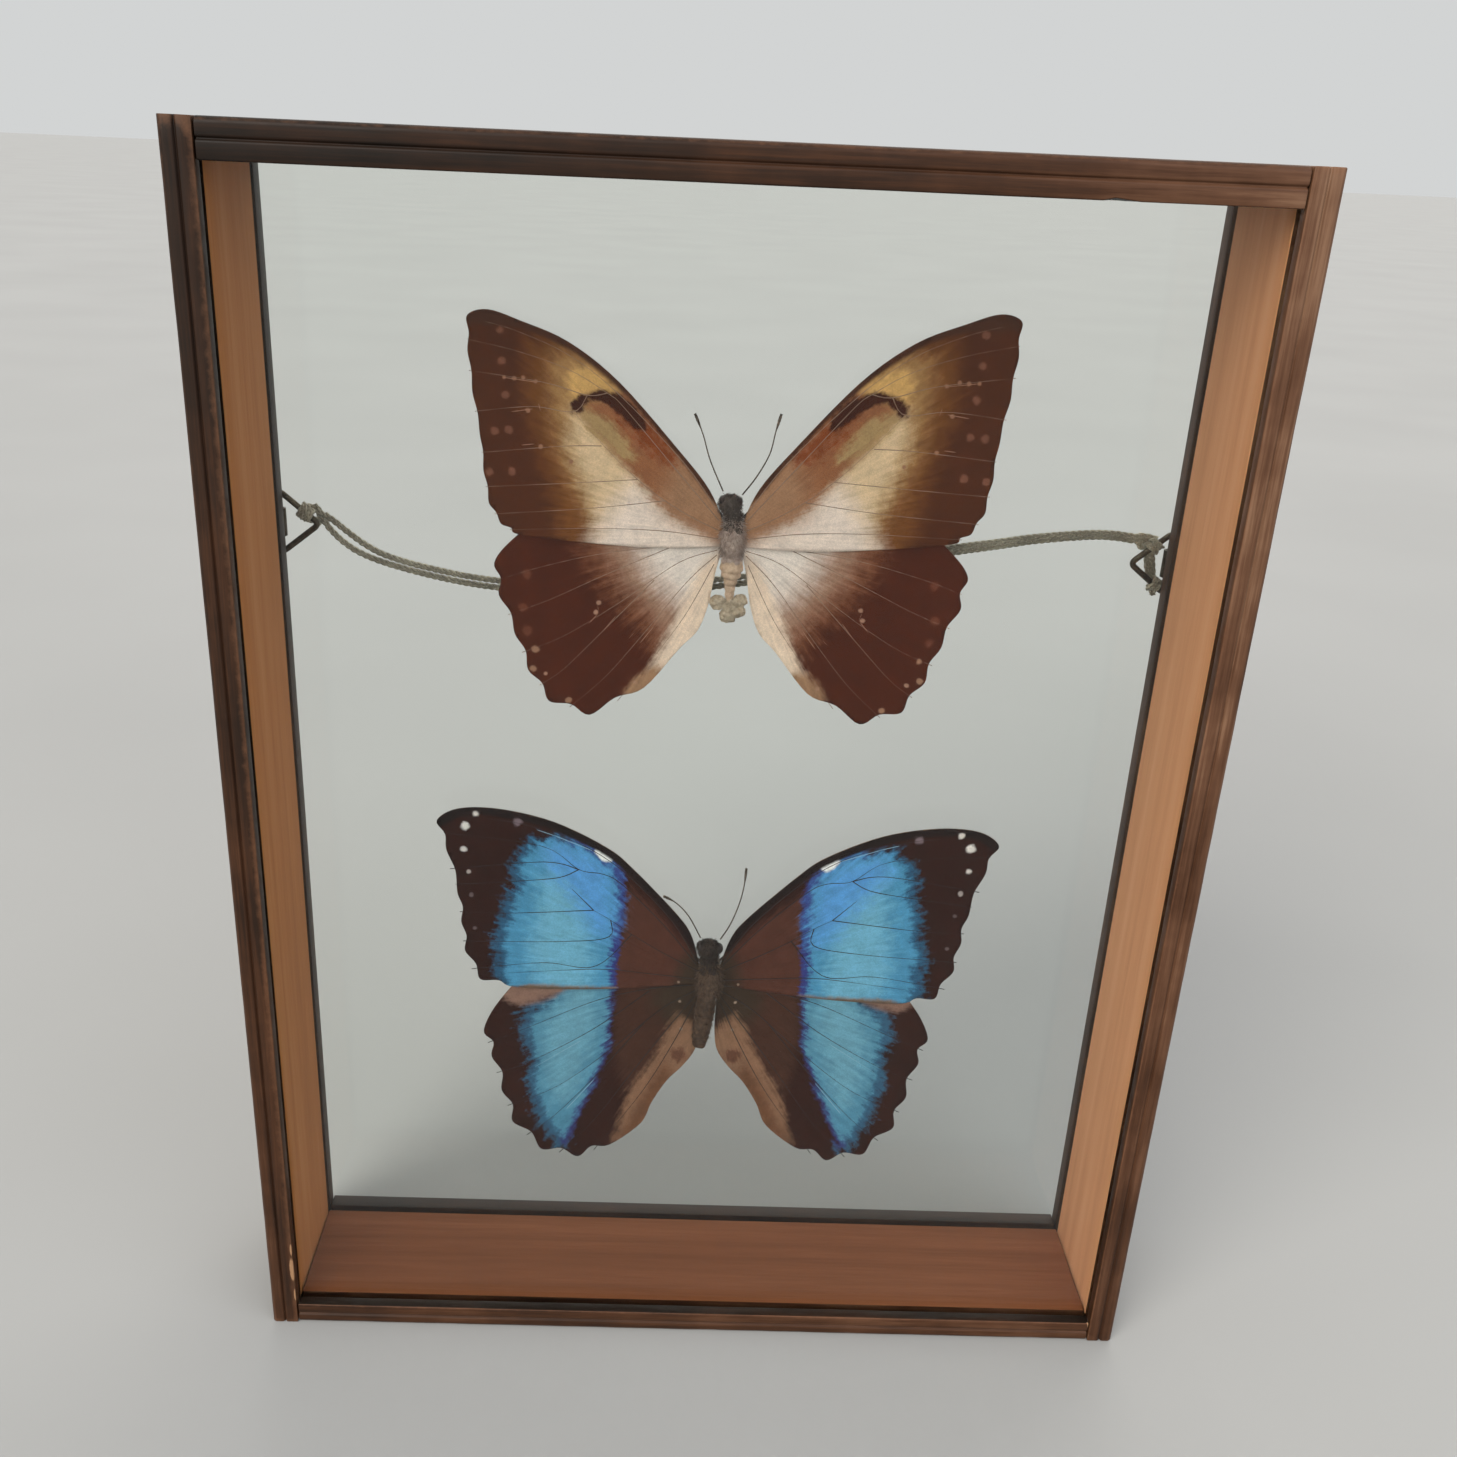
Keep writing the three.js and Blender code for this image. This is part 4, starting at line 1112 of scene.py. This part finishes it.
def wear_and_shade_at(x, depth, z):
    """How much a point of a board is rubbed, from 0 to 1: most on the lip round the opening. The
    lip's faces towards the opening are below 0, where painted shade makes the stain dark."""
    from_side = WIDTH / 2 - abs(x)
    from_top = HEIGHT - z
    in_opening = min(from_side - STILE, z - BOTTOM_RAIL, from_top - TOP_RAIL) > -0.1
    # painted shade on the lip's faces towards the opening, given as values below 0
    if in_opening and depth > 0.9 * BOARD_ROUNDING:
        if from_side < STILE + 0.4:
            return SHADE_ON_STILES
        return SHADE_IN_FRONT if depth < BOX_DEPTH / 2 else SHADE_BEHIND
    wears = [0]
    for across, width, on_lip, on_corner in (
        (from_side, STILE, 1.0, 0.8), (z, BOTTOM_RAIL, 1.0, 0.8), (from_top, TOP_RAIL, 0.6, 0.9),
    ):
        if across < width + 0.01:
            wears.append(on_lip * (1 - math.hypot(across - width, depth) / LIP_WEAR))
            wears.append(on_corner * (1 - math.hypot(across, depth) / CORNER_WEAR))
    return max(wears)


def add_board(node, axis, stain, bare):
    """A board with its edges worn round, stained outside and bare between the panes."""
    bm = cad_copy(node)
    bevel_sharp(bm, BOARD_ROUNDING, 3)
    low, high = (0, HEIGHT) if axis == 2 else (-WIDTH / 2, WIDTH / 2)
    slice_across(bm, axis, low, high, BOARD_STEP)
    wear_and_shade = bm.verts.layers.float.new("wear_and_shade")
    for vert in bm.verts:
        vert[wear_and_shade] = wear_and_shade_at(*vert.co)
    bm.normal_update()
    for vert in bm.verts:
        worn_off = 0.16 * max(0, vert[wear_and_shade]) * max(0, noise.noise(vert.co / 7) + 0.2)
        uneven = 0.03 * noise.noise(vert.co / 25)
        vert.co -= vert.normal * (worn_off + uneven)
        vert.co.z += NICK_DEPTH * max(0, 1 - math.dist(vert.co, NICK_PLACE) / NICK_RADIUS)
    for face in bm.faces:
        x, depth, z = face.calc_center_median()
        between_panes = PANE_FRONT_DEPTH + 1 < depth < PANE_BACK_DEPTH - 1
        from_walls = min(WIDTH / 2 - abs(x) - STILE, z - BOTTOM_RAIL, HEIGHT - z - TOP_RAIL)
        if between_panes and from_walls > -0.2:
            face.material_index = 1
    sharp_by_angle(bm, 50)
    finish_piece(bm, "worn_" + node, "stained_wood", [stain, bare], node)


def add_frame():
    # the boards' tones are partly painted light and shade: darkest at the frame's top left, lightest up its right side
    left = stained_wood("stained_left_stile", "z", 0.55, 0.25)
    right = stained_wood("stained_right_stile", "z", 0.52, 0.86)
    top = stained_wood("stained_top_rail", "x", 0, 0.78)
    bottom = stained_wood("stained_bottom_rail", "x", 0.42, 0.56)
    # one bare wood in three copies that differ by painted light and shade: the right wall painted lighter, the top and
    # bottom walls darker, the left wall between
    bare_left = bare_wood("bare_left_wall", "z", "#a86b3d", "#c3814b", "#d29865")
    bare_right = bare_wood("bare_right_wall_painted_light", "z", "#cc8d60", "#e4a577", "#eeb48a")
    bare_level = bare_wood("bare_level_walls_painted_shade", "x", "#6c3e22", "#835032", "#986242")
    add_board("stile_left", 2, left, bare_left)
    add_board("stile_right", 2, right, bare_right)
    add_board("rail_top", 0, top, bare_level)
    add_board("rail_bottom", 0, bottom, bare_level)


def add_panes(glass):
    for node in ("pane_front", "pane_back"):
        bm = cad_copy(node)
        bevel_sharp(bm, 0.12, 2)
        finish_piece(bm, "glass_" + node, "clear_glass", [glass], node)


# Wings

def wing_outline(wing):
    """The outline as points [outward, 0, up]. The margin runs through the tips and dips between
    them, and the corners are rounded."""
    corners = list(wing["leading"][:-1])
    for (x, z), (next_x, next_z) in zip(wing["tips"], wing["tips"][1:]):
        along = Vector((next_x - x, next_z - z)).normalized() * wing["notch"]
        corners += [(x, z), ((x + next_x) / 2 + along.y, (z + next_z) / 2 - along.x)]
    corners += wing["inner"]
    return smooth_path([(x, 0, z) for x, z in corners], 5)


def distance_to_stretches(points, starts, ends):
    """Each point's distance to the nearest straight stretch. All three are N by 2 arrays."""
    along = ends - starts
    gap = points[:, None, :] - starts[None]
    share = np.clip((gap * along).sum(2) / (along ** 2).sum(1), 0, 1)
    return np.linalg.norm(gap - share[..., None] * along, axis=2).min(axis=1)


def distance_to_lines(points, lines):
    """Each point's distance to the nearest of the open lines."""
    starts = np.array([p for line in lines for p in line[:-1]], float)
    ends = np.array([p for line in lines for p in line[1:]], float)
    return distance_to_stretches(points, starts, ends)


def signed_distance(points, outline):
    """Each point's distance to the closed outline, positive inside."""
    a = np.array(outline, float)
    b = np.roll(a, -1, axis=0)
    away = distance_to_stretches(points, a, b)
    across, height = points[:, None, 0], points[:, None, 1]
    crosses = (a[:, 1] > height) != (b[:, 1] > height)
    rise = np.where(b[:, 1] == a[:, 1], 1, b[:, 1] - a[:, 1])
    crossing = a[:, 0] + (height - a[:, 1]) * (b[:, 0] - a[:, 0]) / rise
    inside = (crosses & (across < crossing)).sum(1) % 2 == 1
    return np.where(inside, away, -away)


def wing_height(x, z):
    """How far a dried wing curls towards the front at a point, in millimetres."""
    reach = math.hypot(x, z) / WING_REACH
    wave = WING_WAVE * noise.noise(Vector((x / WAVE_LENGTH, z / WAVE_LENGTH, 3.7)))
    return -(WING_CURL * reach ** 2 + wave * min(1, 1.5 * reach))


def flat_wing(wing):
    """The wing as a thin flat shell, cut into small cells, in its own millimetres."""
    bm = bmesh.new()
    outline = wing_outline(wing)
    bm.faces.new([bm.verts.new(p) for p in outline])
    for axis in (0, 2):
        places = [p[axis] for p in outline]
        slice_across(bm, axis, min(places), max(places), WING_CELL)
    made = bmesh.ops.extrude_face_region(bm, geom=bm.faces[:])
    moved = [v for v in made["geom"] if isinstance(v, bmesh.types.BMVert)]
    bmesh.ops.translate(bm, verts=moved, vec=(0, WING_THICKNESS, 0))
    bmesh.ops.recalc_face_normals(bm, faces=bm.faces)
    return bm


def lay_line(bm, points, step, lift, radius, swell, roundness, material):
    """A fine line laid on the curled wing, lifted from it towards the back. swell gives a point's
    share of the radius, from its number and the number of points."""
    path = even_path([Vector(p) for p in points], step)
    path = [p + Vector((0, wing_height(p.x, p.z) + lift, 0)) for p in path]
    shares = [swell(k, len(path)) for k in range(len(path))]
    add_tube(bm, path, radius, shares, roundness, material)


def curl_wing(bm, kind):
    """Curls and pleats the shell, and lays its veins and rubbed lines on it."""
    for face in bm.faces:
        face.smooth = True
        face.material_index = 0 if face.normal.y < -0.5 else 1
    to_vein = distance_to_lines(np.array([(v.co.x, v.co.z) for v in bm.verts]), WINGS[kind]["veins"])
    for vert, away in zip(bm.verts, to_vein):
        pleat = PLEAT_DEPTH * min(1, away / PLEAT_WIDTH)
        vert.co.y += wing_height(vert.co.x, vert.co.z) - pleat
    for line in WINGS[kind]["veins"]:
        points = smooth_path([(x, 0, z) for x, z in line], 5)
        radius = VEIN_RADIUS[kind.split("_")[0]]
        swell = lambda k, count: 1 - 0.4 * k / count
        lay_line(bm, points, 1.2, 0.05, radius, swell, 1, 2)
    for line in RUBBED_LINES[kind]:
        points = [(x, 0, z) for x, z in line]
        swell = lambda k, count: 1 if 0 < k < count - 1 else 0.4
        lay_line(bm, points, 0.8, -0.04, RUBBED_RADIUS, swell, 0, 3)


def store(piece, name, values):
    """Keeps a number or a vector for each of the piece's points, for its material to read."""
    kind, field = ("FLOAT", "value") if values.ndim == 1 else ("FLOAT_VECTOR", "vector")
    layer = piece.data.attributes.new(name, kind, "POINT")
    layer.data.foreach_set(field, values.astype(np.float32).ravel())


def add_wing(kind, side, flat, materials):
    """A wing of one side, 1 right or -1 left. Its material reads each point's place on the flat
    wing, its distance inside each region, and the fan of rays from the body."""
    bm = flat.copy()
    curl_wing(bm, kind)
    own = np.array([(v.co.x, v.co.z) for v in bm.verts])
    turn, scale = RIGHT_SET[kind] if side > 0 else (0, 1)
    turned = Matrix.Rotation(-math.radians(turn), 3, "Y")
    bmesh.ops.rotate(bm, verts=bm.verts, cent=(0, 0, 0), matrix=turned)
    bmesh.ops.scale(bm, verts=bm.verts, vec=(scale * side, 1, scale))
    if side < 0:
        bmesh.ops.reverse_faces(bm, faces=bm.faces)
    x, z = CENTRES[kind.split("_")[0]]
    bmesh.ops.translate(bm, verts=bm.verts, vec=(x, WINGS[kind]["depth"] - WING_THICKNESS / 2, z))
    name = kind + ("_right" if side > 0 else "_left")
    slot = "brown_wing" if kind.startswith("upper") else "blue_wing"
    piece = finish_piece(bm, "scaled_" + name, slot, materials, name)
    for region, _, _, _, outline in PATTERNS[kind]["regions"]:
        smooth_outline = smooth_path([(x, 0, z) for x, z in outline + outline[:1]], 4)[:-1]
        store(piece, region, signed_distance(own, [(p.x, p.z) for p in smooth_outline]))
    store(piece, "place", np.stack([own[:, 0], np.zeros(len(own)), own[:, 1]], axis=1))
    angle = np.arctan2(own[:, 1], own[:, 0]) * RAYS_ROUND
    reach = np.hypot(own[:, 0], own[:, 1]) * RAYS_ALONG
    store(piece, "fan", np.stack([angle, reach, np.full(len(own), float(side))], axis=1))


def add_wings():
    under = {
        "upper": wing_underside("upper", "#5f4636", "#9a8068"),
        "lower": wing_underside("lower", "#3e2e23", "#7a6550"),
    }
    vein = {
        "upper": chitin("brown_vein", "#7c6150", "#9a7e6a", 0.6),
        "lower": chitin("black_vein", "#1b1618", "#2b2320", 0.5),
    }
    rubbed = {
        "upper": chitin("rubbed_brown", "#8a6048", "#b48a70", 0.8),
        "lower": chitin("rubbed_blue", "#7fb0cc", "#a8cbdc", 0.7),
    }
    shine = {"upper": 0.7, "lower": 0.45}
    for kind, wing in WINGS.items():
        flat = flat_wing(wing)
        owner = kind.split("_")[0]
        materials = [scaled_wing(kind, shine[owner]), under[owner], vein[owner], rubbed[owner]]
        for side in (-1, 1):
            add_wing(kind, side, flat, materials)
        flat.free()


# Bodies, antennae, residue and glue

def add_lumps(bm, centre, lumps, forward=0, share=1, rings=16, material=0):
    """Squashed balls at their places from the body's centre, at this share of their half sizes."""
    for x, z, *halves in lumps:
        made = bmesh.ops.create_uvsphere(bm, u_segments=2 * rings, v_segments=rings, radius=1)
        place = (centre[0] + x, BODY_DEPTH - forward, centre[1] + z)
        bmesh.ops.scale(bm, verts=made["verts"], vec=[half * share for half in halves])
        bmesh.ops.translate(bm, verts=made["verts"], vec=place)
        for face in {f for v in made["verts"] for f in v.link_faces}:
            face.material_index = material
            face.smooth = True


def add_abdomen(bm, centre, shape):
    """Rings that swell between their joints, spun about a line from start to end."""
    start = Vector((shape["start"][0], 0, shape["start"][1]))
    end = Vector((shape["end"][0], 0, shape["end"][1]))
    length = (end - start).length
    ring = length / len(shape["radii"])
    profile = [(0, 0)]
    for k, radius in enumerate(shape["radii"]):
        profile += [(radius * swell, (k + place) * ring) for swell, place in RING_PROFILE]
    profile.append((0, length))
    verts = [bm.verts.new((r, 0, -h)) for r, h in profile]
    edges = [bm.edges.new(pair) for pair in zip(verts, verts[1:])]
    bmesh.ops.spin(
        bm, geom=verts + edges, cent=(0, 0, 0), axis=(0, 0, 1), dvec=(0, 0, 0),
        angle=2 * math.pi, steps=28, use_merge=True,
    )
    bmesh.ops.remove_doubles(bm, verts=bm.verts, dist=0.001)
    lean = Vector((0, 0, -1)).rotation_difference(end - start)
    bmesh.ops.rotate(bm, verts=bm.verts, cent=(0, 0, 0), matrix=lean.to_matrix())
    place = (centre[0] + start.x, BODY_DEPTH, centre[1] + start.z)
    bmesh.ops.translate(bm, verts=bm.verts, vec=place)
    bmesh.ops.recalc_face_normals(bm, faces=bm.faces)


def add_hairs(bm, centre, lump, hairs, seed, material):
    """Short hairs that lean back from the head over a lump, each a thin three-sided spike. They
    are made in small tufts, which are then joined to the body."""
    count, length = hairs
    x, z, half_width, half_thick, half_height = lump
    middle = Vector((centre[0] + x, BODY_DEPTH, centre[1] + z))
    draw = random.Random(seed)
    for _ in range(count // TUFT):
        tuft = bmesh.new()
        for _ in range(TUFT):
            out = Vector((draw.gauss(0, 1), draw.gauss(0, 1), draw.gauss(0, 1))).normalized()
            root = middle + Vector((out.x * half_width, out.y * half_thick, out.z * half_height))
            stray = Vector((draw.gauss(0, 0.25), draw.gauss(0, 0.25), draw.gauss(0, 0.25)))
            aim = (out + Vector((0, 0, -0.9)) + stray).normalized()
            tall = length * draw.uniform(0.6, 1.25)
            lean = Vector((0, 0, 1)).rotation_difference(aim).to_matrix().to_4x4()
            bmesh.ops.create_cone(
                tuft, cap_ends=False, segments=3, radius1=HAIR_ROOT, radius2=HAIR_TIP, depth=tall,
                matrix=Matrix.Translation(root + aim * tall * 0.42) @ lean,
            )
        join_mesh(bm, tuft, material)


def add_legs(bm, centre):
    """Four legs of this outline, folded out from under the thorax, thinner towards the feet."""
    for side in (-1, 1):
        for direction in (-1, 1):
            points = [(centre[0] + side * out, depth, centre[1] + direction * up) for out, up, depth in LEG]
            path = smooth_path(points, 6)
            swell = [1.3 - 0.7 * k / len(path) + (0.25 if k % 6 == 0 else 0) for k in range(len(path))]
            add_tube(bm, path, LEG_RADIUS, swell, roundness=1, material=1)


def add_palps(bm, centre, head):
    """The two short mouth parts that stick out past the head."""
    for sign in (-1, 1):
        path = [
            (centre[0] + head[0] + sign * out, BODY_DEPTH - forward, centre[1] + head[1] + up)
            for out, forward, up in PALP
        ]
        add_tube(bm, smooth_path(path, 4), PALP_RADIUS, None, roundness=1, material=1)


def add_body_hairs(bm, kind, centre):
    """Hairs on the thorax, neck and head, and on the lower butterfly's whole abdomen."""
    head, _, _, neck, thorax = LUMPS[kind]
    add_hairs(bm, centre, thorax, THORAX_HAIRS[kind], 11, 2)
    add_hairs(bm, centre, neck, NECK_HAIRS, 12, 1)
    add_hairs(bm, centre, head, HEAD_HAIRS, 13, 1)
    if kind == "upper":
        return
    tail = ABDOMENS[kind]
    for k, radius in enumerate(tail["radii"][:-1]):
        share = (k + 0.5) / len(tail["radii"])
        x, z = (a + share * (b - a) for a, b in zip(tail["start"], tail["end"]))
        add_hairs(bm, centre, (x, z, radius, radius, 1.1), TAIL_HAIRS, 20 + k, 2)


def add_body(kind, skin, dark, hair, eye):
    """Abdomen, thorax, neck and head in one skin, with legs, eyes, palps and hairs. The head and
    the front of the thorax are dark, and the rest of the thorax has the hair's colour."""
    centre = CENTRES[kind]
    lumps = bmesh.new()
    add_abdomen(lumps, centre, ABDOMENS[kind])
    add_lumps(lumps, centre, LUMPS[kind])
    bm = fused(lumps, 0.22, 3)
    roughen(bm, 0.12, 0.9)
    head, left_eye, right_eye, _, thorax = LUMPS[kind]
    dark_from = centre[1] + thorax[1] + DARK_FROM * thorax[4]
    furry_from = centre[1] + thorax[1] + FURRY_FROM * thorax[4]
    for face in bm.faces:
        middle = face.calc_center_median()
        height = middle.z + noise.noise(middle * 0.9)
        face.material_index = 1 if height > dark_from else 2 if height > furry_from else 0
    add_legs(bm, centre)
    add_lumps(bm, centre, (left_eye, right_eye), EYE_FORWARD, 0.96, rings=12, material=3)
    add_palps(bm, centre, head)
    add_body_hairs(bm, kind, centre)
    name = kind + "_body"
    finish_piece(bm, "hairy_" + name, "hairy_body", [skin, dark, hair, eye], name)


def add_bodies():
    dark = chitin("dark_chitin", "#1f1712", "#40322a", 0.6)
    eye = chitin("dry_eye", "#1d1614", "#3a2e2a", 0.3)
    pale_skin = chitin("pale_dry_skin", "#ab9078", "#d6bca2", 0.6)
    faded = chitin("faded_head_hair", "#2c2521", "#5e534c", 0.75)
    grey_hair = chitin("grey_brown_hair", "#88736a", "#cab8ac", 0.85)
    add_body("upper", pale_skin, faded, grey_hair, eye)
    dark_skin = chitin("dark_dry_skin", "#35281f", "#5c4636", 0.7)
    dark_hair = chitin("dark_hair", "#42332a", "#7c6452", 0.85)
    add_body("lower", dark_skin, dark, dark_hair, eye)


def add_antennae(material):
    """Thin ringed threads that end in a slim club."""
    for name, points in ANTENNAE.items():
        centre = CENTRES[name.split("_")[0]]
        path = smooth_path([(centre[0] + x, BODY_DEPTH, centre[1] + z) for x, z in points], 10)
        path = even_path(path, 0.35)
        swell = []
        for k in range(len(path)):
            along = k / len(path)
            club = min(1, max(0, (along - 0.8) / 0.2))
            ringed = 1 + 0.12 * math.cos(math.pi * k)
            swell.append(ringed * (1 - 0.25 * along + 1.15 * math.sin(club * math.pi * 0.8)))
        bm = bmesh.new()
        add_tube(bm, path, ANTENNA_RADIUS, swell, roundness=1)
        finish_piece(bm, "ringed_" + name, "hairy_body", [material], name)


def add_residue(material):
    centre = CENTRES["upper"]
    lumps = bmesh.new()
    add_lumps(lumps, centre, RESIDUE)
    bm = fused(lumps, 0.15, 2)
    roughen(bm, 0.4, 0.8)
    roughen(bm, 0.12, 0.3)
    finish_piece(bm, "crumbly_residue", "dry_residue", [material], "upper_residue")


def add_glue(material):
    for kind in ("upper", "lower"):
        node = kind + "_glue"
        bm = cad_copy(node)
        bevel_sharp(bm, 0.25, 3, 50)
        bmesh.ops.subdivide_edges(bm, edges=bm.edges, cuts=1, use_grid_fill=True)
        roughen(bm, 0.1, 1.2)
        for face in bm.faces:
            face.smooth = True
        finish_piece(bm, node + "_bead", "clear_glue", [material], node)


# Hangers

def ring_path():
    """The triangle of wire with rounded corners, from the middle of its straight side."""
    corners = [Vector((0, 0, RING_TOP)), Vector((RING_REACH, 0, RING_APEX)), Vector((0, 0, RING_LOW))]
    start, end = Vector((0, 0, RING_GAP)), Vector((0, 0, -RING_GAP))
    path = [start]
    for before, corner, after in zip([start] + corners, corners, corners[1:] + [end]):
        arrive = corner + (before - corner).normalized() * RING_CORNER
        leave = corner + (after - corner).normalized() * RING_CORNER
        bend = arrive.lerp(corner, 0.66), leave.lerp(corner, 0.66)
        path += geometry.interpolate_bezier(arrive, *bend, leave, 10)
    return path + [end]


def add_hangers(metal):
    for side in ("left", "right"):
        bm = bmesh.new()
        path = [ring_point(side, p.x, p.z) for p in ring_path()]
        add_tube(bm, path, WIRE_RADIUS, roundness=5)
        finish_piece(bm, "wire_ring_" + side, "dark_metal", [metal], "hanger_ring_" + side)
        for part, width in (("strap", 0.08), ("screw", 0.07)):
            node = "hanger_" + part + "_" + side
            bm = cad_copy(node)
            bevel_sharp(bm, width, 2, 40)
            sharp_by_angle(bm, 40)
            finish_piece(bm, "aged_" + node, "dark_metal", [metal], node)


add_camera()
COTTON = braided_cotton()
add_cords(COTTON, [add_knot("left", COTTON), add_knot("right", COTTON)])
add_studio()
add_frame()
add_panes(float_glass())
add_wings()
add_bodies()
add_antennae(chitin("antenna_skin", "#3c332c", "#6b5e52", 0.55))
add_residue(chitin("grey_residue", "#8a7b66", "#cdbda6", 0.9))
add_glue(dried_glue())
add_hangers(dark_wire())

DRESSED_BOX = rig.bounds()
with open("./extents.json", "w") as out:
    json.dump({"cad": [list(c) for c in CAD_BOX], "visual": [list(c) for c in DRESSED_BOX]}, out)
